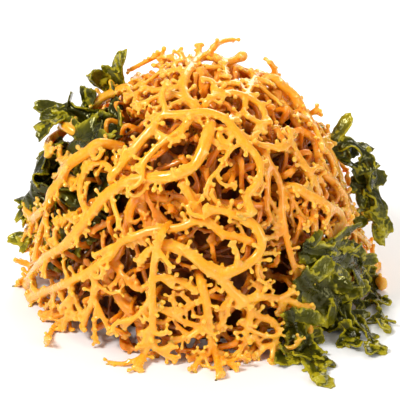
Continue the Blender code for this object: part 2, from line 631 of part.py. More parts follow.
def lay_back_fronds(tangle):
    """Gold fronds down and across the sides and back: every other one starts lower and sweeps round."""
    random = np.random.RandomState(BACK_SEED)
    stops = np.linspace(0.0, 1.0, 8)
    for number in range(BACK_FRONDS):
        name = f"gold_frond_back_{number + 1}"
        low = number % 2
        lift, starts = (LOW_LIFT, LOW_STARTS) if low else (HIGH_LIFT, HIGH_STARTS)
        middle_turn = np.interp(number, (0, BACK_FRONDS - 1), BACK_SPAN)
        sweep = random.choice((-1, 1)) * (LOW_SWEEP if low else HIGH_LEAN)
        sway = random.uniform(*BACK_SWAY) * np.sin(2 * math.pi * (BACK_SWAYS * stops + random.uniform()))
        turns = middle_turn + sweep * (stops - 0.5) + sway
        heights = np.linspace(random.uniform(*starts), 0.0, len(stops))
        route = [place_on_dome(turn, height, lift) for turn, height in zip(turns, heights)]
        route[-1] *= BACK_RUN_OUT
        places = smooth_curve(route, RING_STEP)
        places[:, 2] = np.maximum(places[:, 2], BACK_RADII[0])
        radii = tapered(*BACK_RADII, len(places))
        tangle.add_strand(name, places, radii, lift)
        spine = tangle.limbs[-1]["spine"]
        for twig in range(BACK_TWIGS):
            order = 1 + round((len(spine) - 4) * (twig + random.uniform(*BACK_TWIG_STARTS)) / BACK_TWIGS)
            here = tangle.points[spine[order]]
            along = tangle.points[spine[order + 1]] - here
            aside = np.cross(outward(here), along) * (1 if twig % 2 else -1)
            turns = wandering_turns(random, TURNS, BACK_TWIG_WANDER)
            length = random.uniform(*BACK_TWIG_LENGTHS)
            heading = BACK_TWIG_AHEAD * along + aside
            places = march(here, heading, length, lift + 1, turns, BACK_TWIG_RADII[0])
            root = (spine[order], spine[order - 1:order + 2])
            tangle.add_strand(name, places, tapered(*BACK_TWIG_RADII, len(places)), lift, root)
    for number in range(BACK_GREEN):
        name = f"green_frond_back_{number + 1}"
        turn = np.interp(number, (0, BACK_GREEN - 1), BACK_GREEN_SPAN)
        start = place_on_dome(turn, random.uniform(*BACK_GREEN_STARTS), BACK_GREEN_LIFT)
        sideways = np.cross(outward(start), (0.0, 0.0, 1.0))
        lean = random.uniform(-BACK_GREEN_LEAN, BACK_GREEN_LEAN)
        heading = np.array((0.0, 0.0, -1.0)) + lean * sideways
        turns = wandering_turns(random, TURNS, BACK_GREEN_WANDER)
        spine = march(start, heading, BACK_GREEN_LENGTH, BACK_GREEN_LIFT, turns, BLADE_FLOOR)
        lay_blade(tangle, name, 0, spine, BACK_GREEN_WIDTHS, BACK_GREEN_LIFT, np.zeros(3))


def lay_heart_strands(tangle):
    """Strands that arch out of the heart and back into it, spread evenly over it, and the feet round it."""
    random = np.random.RandomState(HEART_SEED)
    for number in range(HEART_LOOPS):
        level = math.sin(math.radians(HEART_LOOP_HEIGHTS[1])) * (number + 0.5) / HEART_LOOPS
        height = max(math.degrees(math.asin(level)), HEART_LOOP_HEIGHTS[0])
        turn = GOLDEN_ANGLE * number + random.uniform(-HEART_LOOP_SCATTER, HEART_LOOP_SCATTER)
        swing = random.choice((-1, 1)) * random.uniform(*HEART_LOOP_SWINGS) / math.cos(math.radians(height))
        rise = random.uniform(-HEART_LOOP_RISE, HEART_LOOP_RISE)
        route = []
        for part, lift in ((0.0, HEART_ROOT_LIFT), (0.2, HEART_LOOP_LIFT), (0.8, HEART_LOOP_LIFT),
                           (1.0, HEART_ROOT_LIFT)):
            angle = min(max(height + part * rise, HEART_LOOP_HEIGHTS[0]), 88.0)
            route.append(place_on_dome(turn + part * swing, angle, lift))
        places = smooth_curve(route, HEART_LOOP_STEP)
        radii = [HEART_LOOP_RADIUS] * len(places)
        tangle.add_strand(HEART_NAME, places, radii, HEART_LOOP_LIFT, None, HEART_LOOP_SIDES)
    for number in range(HEART_FEET):
        turn = 360.0 * number / HEART_FEET + random.uniform(-HEART_FOOT_SCATTER, HEART_FOOT_SCATTER)
        swing = random.choice((-1, 1)) * random.uniform(*HEART_FOOT_SWINGS)
        route = []
        for part, (height, lift) in zip((0.0, 0.5, 1.0), HEART_FOOT_COURSE):
            route.append(place_on_dome(turn + part * swing, height, lift))
        places = smooth_curve(route, HEART_FOOT_STEP)
        radii = tapered(*HEART_FOOT_RADII, len(places))
        places[:, 2] = np.maximum(places[:, 2], radii)
        tangle.add_strand(HEART_NAME, places, radii, HEART_LOOP_LIFT, None, HEART_LOOP_SIDES)


def knob_base(place, onward):
    """Where a knob's stalk starts, between a point of its strand and the next one."""
    return (1.0 - KNOB_ROOT) * place + KNOB_ROOT * onward


def add_knobs(tangle):
    """Short knobs at uneven steps along every gold strand, turned out of the heap and to its sides."""
    random = np.random.RandomState(KNOB_SEED)
    for limb in list(tangle.limbs):
        if limb["kind"] != "strand" or limb["frond"] == HEART_NAME:
            continue
        spine = limb["spine"]
        order = random.uniform(0.6, 1.6)
        while order < len(spine) - 1:
            here = int(order)
            place = tangle.points[spine[here]]
            along = unit(tangle.points[spine[here + 1]] - place)
            aside = np.cross(outward(place), along)
            heading = unit(outward(place) * random.uniform(0.0, 0.9) + aside * random.choice((-1, 1)))
            reach = limb["radii"][here] + random.uniform(*KNOB_REACHES)
            base = knob_base(place, tangle.points[spine[here + 1]])
            places = [place, base + reach * heading + KNOB_LEAN * along]
            root = (spine[here], spine[max(0, here - 1):here + 2])
            tangle.add_strand(limb["frond"], places, [KNOB_NECK, KNOB_RADIUS], 0, root, KNOB_SIDES)
            tangle.limbs[-1]["onward"] = spine[here + 1]
            order += KNOB_SPACING / RING_STEP * random.uniform(*KNOB_UNEVEN)


def make_object(name, vertices, faces):
    """An object of a mesh given in millimetres."""
    mesh = bpy.data.meshes.new(name)
    mesh.from_pydata([tuple(MM * v for v in vertex) for vertex in vertices], [], faces)
    mesh.update()
    item = bpy.data.objects.new(name, mesh)
    bpy.context.scene.collection.objects.link(item)
    return item


def make_strand(name, places, radii, sides):
    """A tube of flat sides through places, closed by a blunt tip."""
    places = np.array(places)
    vertices, faces = [], []
    side = np.array((0.31, 0.52, 0.79))
    for order, (place, radius) in enumerate(zip(places, radii)):
        ahead = unit(places[min(order + 1, len(places) - 1)] - places[max(order - 1, 0)])
        side = unit(side - ahead * side.dot(ahead))
        other = np.cross(ahead, side)
        for k in range(sides):
            angle = 2 * math.pi * k / sides
            vertices.append(place + radius * (math.cos(angle) * side + math.sin(angle) * other))
    rings = len(places)
    for ring in range(rings - 1):
        for k in range(sides):
            low, next_low = ring * sides + k, ring * sides + (k + 1) % sides
            faces.append((low, next_low, next_low + sides, low + sides))
    faces.append(tuple(reversed(range(sides))))
    vertices.append(places[-1] + 0.7 * radii[-1] * ahead)
    last = (rings - 1) * sides
    for k in range(sides):
        faces.append((last + k, last + (k + 1) % sides, len(vertices) - 1))
    return make_object(name, vertices, faces)


def make_blade(name, grid):
    """A thin closed strap on both sides of a grid of places, split into the same triangles on both faces."""
    grid = np.array(grid)
    rows, columns = grid.shape[:2]
    along = np.gradient(grid, axis=0)
    across = np.gradient(grid, axis=1)
    normal = np.cross(along, across)
    normal /= np.maximum(np.linalg.norm(normal, axis=2), 1e-9)[:, :, None]
    offset = 0.5 * BLADE_THICKNESS * normal
    vertices = list((grid + offset).reshape(-1, 3)) + list((grid - offset).reshape(-1, 3))
    under = rows * columns
    faces = []
    for row in range(rows - 1):
        for column in range(columns - 1):
            a = row * columns + column
            b, c, d = a + 1, a + columns + 1, a + columns
            faces += [(a, d, c), (a, c, b)]
            faces += [(under + a, under + c, under + d), (under + a, under + b, under + c)]
    rim = list(range(columns))
    rim += [row * columns + columns - 1 for row in range(1, rows)]
    rim += [(rows - 1) * columns + column for column in range(columns - 2, -1, -1)]
    rim += [row * columns for row in range(rows - 2, 0, -1)]
    for a, b in zip(rim, rim[1:] + rim[:1]):
        faces += [(a, b, under + b), (a, under + b, under + a)]
    return make_object(name, vertices, faces)


def make_heart(middle):
    """The lumpy core of the heart, flat underneath, where the whole heap stands."""
    bm = bmesh.new()
    bmesh.ops.create_icosphere(bm, subdivisions=3, radius=1.0)
    for vertex in bm.verts:
        x, y, z = vertex.co
        lump = math.sin(5 * x + 2 * y) * math.cos(4 * y - 3 * z) + math.sin(7 * z + 3 * x)
        swell = CORE_HOLLOW + (1.0 - CORE_HOLLOW) * 0.25 * (2.0 + lump)
        vertex.co = (swell * x * CORE[0], swell * y * CORE[1], swell * z * CORE[2])
    geometry = bm.verts[:] + bm.edges[:] + bm.faces[:]
    bmesh.ops.bisect_plane(bm, geom=geometry, plane_co=(0, 0, 0), plane_no=(0, 0, 1), clear_inner=True)
    bmesh.ops.holes_fill(bm, edges=[edge for edge in bm.edges if edge.is_boundary])
    bmesh.ops.recalc_face_normals(bm, faces=bm.faces)
    bmesh.ops.translate(bm, verts=bm.verts, vec=(-middle[0], -middle[1], 0.0))
    bmesh.ops.scale(bm, verts=bm.verts, vec=(MM, MM, MM))
    mesh = bpy.data.meshes.new("heart_core")
    bm.to_mesh(mesh)
    bm.free()
    item = bpy.data.objects.new("heart_core", mesh)
    bpy.context.scene.collection.objects.link(item)
    return item


def drop_scraps(mesh):
    """Keep only the largest connected piece of a mesh."""
    bm = bmesh.new()
    bm.from_mesh(mesh)
    left = set(bm.verts)
    pieces = []
    while left:
        piece, edge = set(), [left.pop()]
        while edge:
            vertex = edge.pop()
            piece.add(vertex)
            for link in vertex.link_edges:
                other = link.other_vert(vertex)
                if other in left:
                    left.remove(other)
                    edge.append(other)
        pieces.append(piece)
    pieces.sort(key=len)
    for piece in pieces[:-1]:
        bmesh.ops.delete(bm, geom=list(piece), context="VERTS")
    bm.to_mesh(mesh)
    bm.free()


def join_limbs(base, limbs):
    """Give a limb the union of itself and the others, and remove the others."""
    twigs = bpy.data.collections.new("limbs")
    bpy.context.scene.collection.children.link(twigs)
    for limb in limbs:
        bpy.context.scene.collection.objects.unlink(limb)
        twigs.objects.link(limb)
    join = base.modifiers.new("join", "BOOLEAN")
    join.operation = "UNION"
    join.operand_type = "COLLECTION"
    join.solver = "MANIFOLD"
    join.collection = twigs
    shapes = bpy.context.evaluated_depsgraph_get()
    mesh = bpy.data.meshes.new_from_object(base.evaluated_get(shapes))
    base.modifiers.clear()
    base.data = mesh
    for limb in limbs:
        bpy.data.objects.remove(limb)
    bpy.data.collections.remove(twigs)
    drop_scraps(mesh)


def finish_frond(name, limbs, material):
    """Fuse a frond's limbs into one named solid of one material."""
    frond = limbs[0]
    if len(limbs) > 1:
        join_limbs(frond, limbs[1:])
    frond.name = name
    frond.data.name = name
    frond.data.materials.clear()
    frond.data.materials.append(material)


def make_material(name, colour, roughness):
    """A plain wet material of one colour."""
    material = bpy.data.materials.new(name)
    material.use_nodes = True
    shader = material.node_tree.nodes["Principled BSDF"]
    shader.inputs["Base Color"].default_value = colour
    shader.inputs["Roughness"].default_value = roughness
    shader.inputs["Metallic"].default_value = 0.0
    return material


def make_limb(limb, points):
    """The solid of one strand or blade, where it has settled."""
    if limb["kind"] == "blade":
        return make_blade("limb", [[points[index] for index in row] for row in limb["rows"]])
    places = [points[index] for index in limb["spine"]]
    if "onward" in limb:
        places[0] = knob_base(places[0], points[limb["onward"]])
    return make_strand("limb", places, limb["radii"], limb["sides"])


def main():
    for item in list(bpy.data.objects):
        bpy.data.objects.remove(item)
    tangle = Tangle()
    lay_front_fronds(tangle)
    lay_green_fronds(tangle)
    lay_back_fronds(tangle)
    lay_heart_strands(tangle)
    add_knobs(tangle)
    middle = tangle.settle()
    gold = make_material("gold_frond", GOLD_COLOUR, 0.25)
    green = make_material("green_frond", GREEN_COLOUR, 0.3)
    dark = make_material("heart_tangle", HEART_COLOUR, 0.4)
    for name in dict.fromkeys(limb["frond"] for limb in tangle.limbs):
        limbs = [make_limb(limb, tangle.points) for limb in tangle.limbs_of(name)]
        if name == HEART_NAME:
            finish_frond(name, [make_heart(middle)] + limbs, dark)
        else:
            finish_frond(name, limbs, gold if name.startswith("gold") else green)


main()
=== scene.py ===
"""Dresses the heap of sea moss: wet gold fronds with knobs and forked tips, green waved fronds and the
tangle at the heart, on a pale floor in soft light.

The routes of the fronds and the rule that settles them are the same as in the solids, so that each fine
skin lies on its own solid. Routes and sizes are in millimetres, and meshes are made in metres, +Z up.
"""
import functools
import math
from collections import namedtuple

import bmesh
import bpy
import numpy as np
from bpy.props import FloatProperty, FloatVectorProperty, IntProperty, PointerProperty
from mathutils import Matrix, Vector, kdtree


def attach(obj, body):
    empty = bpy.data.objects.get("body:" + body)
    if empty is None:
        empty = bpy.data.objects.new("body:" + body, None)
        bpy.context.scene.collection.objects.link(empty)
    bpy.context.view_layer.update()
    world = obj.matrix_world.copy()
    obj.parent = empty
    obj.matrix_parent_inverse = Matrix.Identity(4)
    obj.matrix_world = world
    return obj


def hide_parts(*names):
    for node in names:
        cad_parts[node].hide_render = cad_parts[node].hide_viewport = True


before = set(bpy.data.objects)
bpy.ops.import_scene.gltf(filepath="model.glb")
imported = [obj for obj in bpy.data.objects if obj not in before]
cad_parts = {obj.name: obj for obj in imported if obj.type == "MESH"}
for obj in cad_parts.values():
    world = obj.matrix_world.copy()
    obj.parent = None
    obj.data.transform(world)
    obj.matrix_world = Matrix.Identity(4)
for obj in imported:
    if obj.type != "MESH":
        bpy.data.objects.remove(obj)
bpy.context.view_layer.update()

BODY = "root"

bl_info = {
    "name": "Sea moss heap",
    "version": (1, 0, 0),
    "blender": (4, 5, 0),
    "location": "3D Viewport > Sidebar > Sea moss",
    "description": "Fine skins, finishes and a stage for a heap of gold and green sea moss",
    "category": "Object",
}

MM = 0.001
MM_PER_M = 1000.0

# The heap: the half width, half depth and height of the dome that the outer fronds lie on
HEAP = np.array((92.0, 86.0, 138.0))
# The crowded heart of the heap, which everything else lies round, and the core that its strands stand out of
HEART = np.array((78.0, 73.0, 123.0))
CORE = np.array((67.0, 62.0, 112.0))
# The slant of the picture plane that the front routes are drawn on
VIEW_TILT = math.radians(26)

# Strands and blades
RING_STEP = 9.0
TWIG_STEP = 8.0
TWIG_SIDES = 4
KNOB_SIDES = 3
KNOB_RADIUS = 1.8
KNOB_NECK = 1.3
KNOB_SPACING = 43.0
# How far knobs stand out of their strand, how far on their roots and heads lean, as a share of the way to the
# strand's next point and as a length, and how uneven the steps between them are
KNOB_REACHES = (3.0, 5.0)
KNOB_ROOT = 0.4
KNOB_LEAN = 1.5
KNOB_UNEVEN = (0.7, 1.5)
# Where a strand's first knob is, in steps between its points, and how far knobs rise out of the heap
KNOB_STARTS = (0.6, 1.6)
KNOB_RISES = (0.0, 0.9)
# A strand thicker than the first of these has five sides, one thicker than the second four, and others three.
# How much the last ring of a strand swells
SIDE_RADII = (2.5, 1.65)
END_SWELL = 1.12
BLADE_THICKNESS = 1.0
BLADE_STEP = 9.0
# A blade wider than this has a fourth column of points. How high its waves stand, how far its edge
# ruffles, and how far round both go from one row to the next and from its middle to its edge
WIDE_BLADE = 7.5
BLADE_WAVE = 0.42
BLADE_WAVE_TURN = 2.3
BLADE_WAVE_SHIFT = 1.3
BLADE_RUFFLE = 0.28
BLADE_RUFFLE_TURN = 2.6
BLADE_RUFFLE_SHIFT = 2.0
# The lowest that a blade's middle is laid, and how strongly the front blades turn to face the picture plane
BLADE_FLOOR = 1.5
BLADE_FACING = 1.4

# Settling: the least gap between two fronds, and how closely they are sampled
GAP = 0.7
HEART_GAP = 1.0
SAMPLE_STEP = 2.0
BLADE_SAMPLE_STEP = 2.5
BLADE_MARGIN = 0.6
# How much higher each limb lies in the order of the layers than the one before it
LAYER_STEP = 0.01
# The thickest strand, and how far two fronds may close up before the near pairs are found again
THICKEST = 3.6
SLACK = 1.5
ROUNDS = 320
REFRESH = 8
# How hard touching fronds push apart, and how much of that lifts the upper one out of the heap
PUSH = 1.5
LAYERING = 2.5
# How hard a frond keeps its lengths, and how strongly it is drawn home, in the first part of the rounds
PULL = 1.4
HOMING = 0.02
HOMING_SHARE = 0.6
# How stiff a strand and a blade are to stretching, shearing and bending
STRETCH = 1.0
SHEAR = 0.6
STRAND_BEND = 0.35
BLADE_BEND = 0.4

# A strand and a blade of the lists below, a ball that keeps fronds apart, the line of a fine skin, a pattern
# of noise and a light
Strand = namedtuple("Strand", "root_radius tip_radius lift route")
Blade = namedtuple("Blade", "lift half_widths route")
Sample = namedtuple("Sample", "corners weights radius frond layer")
# A sketch's pale is how strongly its skin is painted with a glow of light through thin tips and edges
Sketch = namedtuple("Sketch", "places radii pale sides")
Noise = namedtuple("Noise", "scale detail roughness distortion", defaults=(3.0, 0.5, 0.0))
Light = namedtuple("Light", "name size place colour")

# The gold fronds that show from the front. The first strand carries the others, and each of those starts
# from the nearest place on a strand before it. A route's points are (across, up) on the picture plane.
GOLD_FRONDS = {
    "gold_frond_long_curve": [
        Strand(3.5, 2.6, 5, [(6, 94), (3, 83), (-2, 72), (-6, 69), (-13, 65), (-22, 64), (-33, 64), (-42, 60),
                             (-52, 53), (-63, 40), (-74, 27), (-85, 20), (-94, 11), (-99, 3)]),
        Strand(2.2, 1.9, 3, [(-60, 42), (-66, 53), (-66, 61), (-62, 69), (-54, 72), (-49, 68), (-47, 63)]),
        Strand(1.7, 1.4, 4, [(-66, 61), (-72, 62)]),
        Strand(1.8, 1.5, 2, [(-63, 40), (-72, 41), (-78, 40)]),
        Strand(2.0, 1.5, 2, [(-74, 27), (-81, 24), (-86, 30), (-96, 37)]),
        Strand(1.7, 1.3, 1, [(-85, 20), (-92, 22), (-97, 23)]),
        Strand(1.7, 1.3, 1, [(-90, 15), (-98, 14), (-103, 16)]),
    ],
    "gold_frond_front_arch": [
        Strand(2.6, 2.3, 7, [(-48, 63), (-44, 69), (-40, 74), (-34, 82), (-27, 90), (-22, 97), (-17, 98),
                             (-8, 98), (1, 99), (10, 97), (16, 93), (21, 87), (26, 80), (31, 75), (33, 70),
                             (33, 64), (31, 60), (27, 56), (25, 51), (27, 45)]),
        Strand(2.2, 1.8, 6, [(-6, 98), (-11, 89), (-17, 85), (-24, 80), (-29, 74), (-33, 68)]),
        Strand(1.9, 1.6, 5, [(22, 87), (32, 82), (38, 81), (43, 79), (48, 81), (51, 85), (50, 89)]),
        Strand(1.4, 1.3, 4, [(18, 90), (15, 78), (13, 70), (8, 66), (4, 60), (3, 54)]),
    ],
    "gold_frond_right_ring": [
        Strand(3.5, 3.0, 4, [(-22, 30), (-13, 27), (-6, 22), (1, 16), (10, 10), (16, 3), (23, -4)]),
        Strand(3.2, 2.2, 5, [(12, 9), (20, 14), (28, 18), (33, 25), (33, 32), (30, 37), (26, 41), (20, 43),
                             (10, 46), (4, 46)]),
        Strand(2.2, 1.9, 3, [(21, -1), (34, -2), (44, -3), (52, -5), (61, -9)]),
        Strand(1.7, 1.4, 3, [(52, -5), (57, -12), (61, -21)]),
        Strand(1.6, 1.4, 3, [(43, -3), (51, 1)]),
        Strand(1.6, 1.4, 2, [(42, -3), (46, -11)]),
        Strand(2.2, 1.7, 3, [(23, -5), (31, -12), (38, -14), (43, -20), (41, -26), (40, -36)]),
        Strand(1.7, 1.5, 2, [(41, -26), (34, -29), (30, -24)]),
        Strand(1.8, 1.4, 2, [(29, -11), (25, -24), (22, -34)]),
        Strand(1.7, 1.4, 2, [(16, 2), (15, -10), (10, -19)]),
        Strand(1.7, 1.5, 2, [(33, 18), (33, 9)]),
    ],
    "gold_frond_left_runner": [
        Strand(2.4, 2.7, 2, [(29, 28), (21, 31), (14, 32), (8, 36), (2, 41), (-8, 37), (-17, 34), (-26, 33),
                             (-35, 31), (-42, 29), (-52, 18), (-63, 11), (-74, 5), (-88, -1), (-96, -5)]),
        Strand(2.4, 2.2, 2, [(2, 41), (-2, 47), (-6, 54), (-9, 60)]),
        Strand(2.2, 1.7, 1, [(-57, 14), (-58, 4), (-60, -5), (-63, -11), (-74, -15), (-81, -19), (-85, -26)]),
        Strand(1.7, 1.4, 1, [(-81, 2), (-83, -5), (-86, -12)]),
        Strand(1.7, 1.4, 1, [(-71, 6), (-72, -6), (-72, -12)]),
        Strand(1.6, 1.4, 1, [(-63, -11), (-65, -19)]),
        Strand(1.6, 1.4, 1, [(-60, -6), (-50, -21)]),
    ],
    "gold_frond_inner_left": [
        Strand(2.6, 3.0, -6, [(-24, 62), (-29, 55), (-34, 50), (-37, 44), (-39, 37), (-45, 22), (-52, 10),
                              (-47, 1), (-41, -8), (-35, -12)]),
        Strand(3.0, 2.6, -8, [(-29, 55), (-28, 43), (-25, 36)]),
        Strand(1.9, 1.6, -3, [(-47, 16), (-43, 10), (-37, 4), (-34, 2), (-29, 4)]),
        Strand(2.4, 2.0, -8, [(-27, 58), (-20, 48), (-11, 44)]),
    ],
    "gold_frond_left_leg": [
        Strand(2.3, 2.0, 5, [(-20, 34), (-25, 16), (-26, 6), (-26, -4), (-26, -16), (-27, -25), (-30, -32),
                             (-34, -40)]),
        Strand(1.9, 1.6, 4, [(-27, -25), (-21, -33), (-14, -36)]),
        Strand(1.8, 1.5, 3, [(-26, -4), (-33, -11), (-41, -17)]),
        Strand(1.8, 1.5, 3, [(-26, 10), (-15, 9), (-8, 5), (-3, 3)]),
        Strand(1.5, 1.3, 3, [(-24, 22), (-29, 24), (-33, 18)]),
        Strand(1.5, 1.3, 3, [(-26, -20), (-32, -23)]),
    ],
    "gold_frond_right_leg": [
        Strand(2.6, 2.0, 3, [(0, 6), (3, -3), (5, -16), (6, -27), (9, -36), (11, -44)]),
        Strand(1.8, 1.4, 2, [(7, -30), (3, -35), (-3, -41)]),
        Strand(1.7, 1.4, 2, [(10, -36), (14, -38), (20, -41)]),
        Strand(1.9, 1.6, 1, [(5, -16), (-8, -16), (-15, -12), (-22, -8)]),
        Strand(1.8, 1.5, 1, [(4, -14), (-4, -22), (-14, -26)]),
        Strand(1.7, 1.4, 1, [(1, 1), (-5, -7), (-11, -11)]),
    ],
    "gold_frond_crown": [
        Strand(3.0, 2.2, 1, [(-1, 102), (-6, 106), (-9, 112), (-9, 118), (-6, 124), (-1, 130), (5, 132),
                             (11, 130), (15, 128), (21, 130), (24, 132)]),
        Strand(1.7, 1.4, 1, [(-1, 130), (0, 137)]),
        Strand(1.7, 1.4, 1, [(7, 132), (10, 138)]),
        Strand(1.7, 1.4, 3, [(13, 129), (15, 120)]),
        Strand(1.7, 1.5, 1, [(-9, 119), (-13, 128), (-18, 131), (-22, 129), (-21, 125), (-20, 121)]),
        Strand(1.4, 1.3, 0, [(-18, 131), (-24, 133)]),
        Strand(1.4, 1.3, 0, [(-11, 125), (-8, 129), (-11, 134)]),
        Strand(1.9, 1.5, 0, [(-10, 116), (-17, 113), (-24, 112), (-29, 113), (-33, 118), (-36, 121)]),
        Strand(1.6, 1.4, 0, [(-29, 113), (-35, 111), (-40, 108)]),
        Strand(1.8, 1.5, 2, [(-8, 111), (-16, 110), (-24, 108), (-32, 104)]),
    ],
    "gold_frond_crown_right": [
        Strand(2.4, 2.0, 1, [(3, 104), (8, 108), (14, 110), (21, 110), (28, 107), (34, 103), (36, 97),
                             (34, 91)]),
        Strand(1.9, 1.6, 1, [(7, 107), (7, 113), (14, 116), (19, 116)]),
        Strand(1.7, 1.4, 0, [(27, 107), (28, 114), (30, 119), (34, 123)]),
        Strand(1.6, 1.4, 0, [(29, 114), (34, 117), (38, 119), (43, 123)]),
        Strand(1.6, 1.4, 0, [(25, 108), (24, 100), (20, 96)]),
    ],
    "gold_frond_shoulder": [
        Strand(2.7, 2.4, 0, [(43, 115), (47, 110), (52, 104), (57, 98), (61, 92), (65, 86), (67, 78),
                             (67, 69), (74, 62), (79, 57), (83, 51), (83, 44)]),
        Strand(1.6, 1.4, 0, [(48, 109), (50, 114)]),
        Strand(1.6, 1.4, 0, [(52, 104), (57, 110)]),
        Strand(1.7, 1.4, 0, [(58, 96), (62, 100), (68, 105)]),
        Strand(1.6, 1.4, 0, [(62, 91), (71, 95)]),
        Strand(1.6, 1.4, 0, [(74, 62), (76, 67)]),
        Strand(1.7, 1.4, 0, [(82, 52), (89, 46), (96, 42)]),
    ],
    "gold_frond_right_slope": [
        Strand(2.7, 2.3, 1, [(50, 80), (54, 75), (59, 67), (64, 61), (67, 54), (66, 47), (64, 41), (64, 35),
                             (65, 29)]),
        Strand(1.8, 1.5, 0, [(52, 78), (46, 84), (42, 91)]),
        Strand(1.6, 1.4, 0, [(61, 65), (67, 62)]),
    ],
    "gold_frond_right_hollow": [
        Strand(2.2, 1.9, -1, [(33, 80), (36, 75), (41, 67), (45, 60), (45, 53), (45, 45), (46, 38),
                              (47, 32), (52, 22), (56, 12)]),
        Strand(1.9, 1.6, -3, [(40, 68), (37, 54), (37, 45), (41, 39), (45, 34)]),
        Strand(1.6, 1.4, -3, [(45, 57), (52, 51), (54, 46), (58, 40)]),
    ],
    "gold_frond_right_runner": [
        Strand(3.0, 2.3, 2, [(52, 58), (61, 53), (67, 49), (74, 45), (80, 40), (80, 35), (77, 30)]),
        Strand(1.8, 1.5, 1, [(80, 38), (88, 33), (96, 26)]),
        Strand(1.8, 1.5, 1, [(78, 32), (82, 22)]),
        Strand(1.8, 1.5, 0, [(71, 47), (70, 38), (72, 31)]),
    ],
}

# The green fronds that show from the front: straps along a route, with a half width at each of its points
GREEN_FRONDS = {
    "green_frond_upright": [
        Blade(-4, [4.5, 5.5, 4.5, 4.0, 1.6], [(-54, 98), (-53, 107), (-51, 114), (-48, 121), (-46, 128)]),
        Blade(-4, [2.2, 1.6, 1.2], [(-52, 112), (-56, 116), (-59, 120)]),
    ],
    "green_frond_left_fan": [
        Blade(-4, [8.0, 10.0, 8.0, 6.0, 2.0], [(-46, 84), (-58, 94), (-68, 99), (-77, 102), (-84, 100)]),
        Blade(-4, [3.0, 2.2, 1.3], [(-62, 96), (-64, 103), (-63, 108)]),
        Blade(-4, [3.0, 2.2, 1.3], [(-74, 99), (-82, 97), (-88, 94)]),
    ],
    "green_frond_left_lobe": [
        Blade(-2, [8.0, 12.0, 12.0, 9.0, 2.5], [(-52, 78), (-66, 82), (-80, 80), (-92, 74), (-102, 67)]),
        Blade(-2, [4.0, 3.0, 1.5], [(-80, 84), (-90, 87), (-98, 83)]),
        Blade(-2, [3.5, 3.0, 1.5], [(-76, 76), (-86, 70), (-92, 64)]),
    ],
    "green_frond_left_apron": [
        Blade(-3, [8.0, 12.0, 12.0, 8.0, 2.5], [(-62, 68), (-76, 60), (-88, 50), (-97, 39), (-103, 28)]),
        Blade(-2, [4.0, 3.0, 1.5], [(-84, 56), (-95, 55), (-104, 51)]),
        Blade(-2, [3.5, 3.0, 1.5], [(-90, 46), (-98, 46), (-103, 42)]),
    ],
    "green_frond_left_fold": [
        Blade(-8, [9.0, 13.0, 12.0, 8.0, 3.0], [(-54, 68), (-61, 54), (-66, 40), (-72, 28), (-78, 14)]),
    ],
    "green_frond_right_strap": [
        Blade(-3, [4.0, 5.0, 4.0, 3.0, 2.6, 1.5], [(68, 86), (78, 84), (86, 84), (93, 78), (98, 70),
                                                   (97, 62)]),
        Blade(-3, [3.0, 3.0, 1.5], [(78, 82), (84, 74), (92, 68)]),
    ],
    "green_frond_right_tail": [
        Blade(-3, [4.0, 5.0, 4.0, 3.0, 1.5], [(86, 62), (95, 58), (101, 53), (104, 46), (104, 38)]),
        Blade(-2, [3.0, 3.0, 1.5], [(93, 52), (98, 42), (103, 34)]),
    ],
    "green_frond_low_right": [
        Blade(1, [5.0, 8.0, 8.0, 6.0, 2.0], [(56, 24), (66, 21), (76, 20), (86, 17), (94, 10)]),
        Blade(1, [3.5, 3.0, 1.5], [(70, 25), (78, 28), (84, 26)]),
        Blade(1, [4.0, 3.0, 2.5, 1.5], [(86, 12), (96, 0), (101, -8), (103, -20)]),
    ],
    "green_frond_low_fan": [
        Blade(2, [6.0, 10.0, 11.0, 8.0, 2.5], [(54, 10), (64, 2), (74, -8), (80, -18), (83, -28)]),
        Blade(2, [4.0, 4.0, 3.0, 1.5], [(72, -4), (84, -14), (92, -22), (98, -31)]),
        Blade(2, [3.5, 3.0, 2.0], [(74, 4), (86, -4), (92, -10)]),
    ],
    "green_frond_low_front": [
        Blade(3, [4.0, 6.0, 6.0, 4.5, 1.6], [(48, -8), (52, -18), (57, -28), (61, -37), (65, -46)]),
        Blade(3, [3.0, 2.5, 1.4], [(54, -20), (62, -30), (68, -38)]),
        Blade(3, [3.0, 2.5, 1.4], [(52, -22), (49, -30), (49, -36)]),
    ],
}

# The fronds round the sides and back, laid by a seeded rule. A span is in degrees round the dome,
# counted from the right side by way of the back.
BACK_SEED = 41
BACK_FRONDS = 8
BACK_SPAN = (8.0, 186.0)
BACK_TWIGS = 4
BACK_RADII = (3.3, 2.4)
BACK_TWIG_RADII = (2.1, 1.6)
BACK_TWIG_LENGTHS = (26.0, 46.0)
# The low fronds lie further out, start lower and sweep round the dome, and the high ones lean a little
LOW_LIFT = 5.0
LOW_STARTS = (40.0, 50.0)
LOW_SWEEP = 62.0
HIGH_LIFT = 0.0
HIGH_STARTS = (62.0, 72.0)
HIGH_LEAN = 14.0
# How far both sway from side to side, in degrees, how often on their way down, and how far out their ends run
BACK_SWAY = (6.0, 11.0)
BACK_SWAYS = 1.3
BACK_RUN_OUT = 1.06
# Where twigs start, as shares of the stretch that each of them has, how far ahead they lean, and how much
# they wander at each of their turns
BACK_TWIG_STARTS = (0.1, 0.9)
BACK_TWIG_AHEAD = 0.8
BACK_TWIG_WANDER = 0.25
TURNS = 20
# How strongly what runs out along the floor is turned away from the heap
FLOOR_SPREAD = 0.6
BACK_GREEN = 4
BACK_GREEN_SPAN = (34.0, 165.0)
BACK_GREEN_LENGTH = 72.0
BACK_GREEN_WIDTHS = [5.0, 9.0, 11.0, 10.0, 8.0, 3.0]
BACK_GREEN_LIFT = -2.0
BACK_GREEN_STARTS = (34.0, 46.0)
BACK_GREEN_LEAN = 0.5
BACK_GREEN_WANDER = 0.2

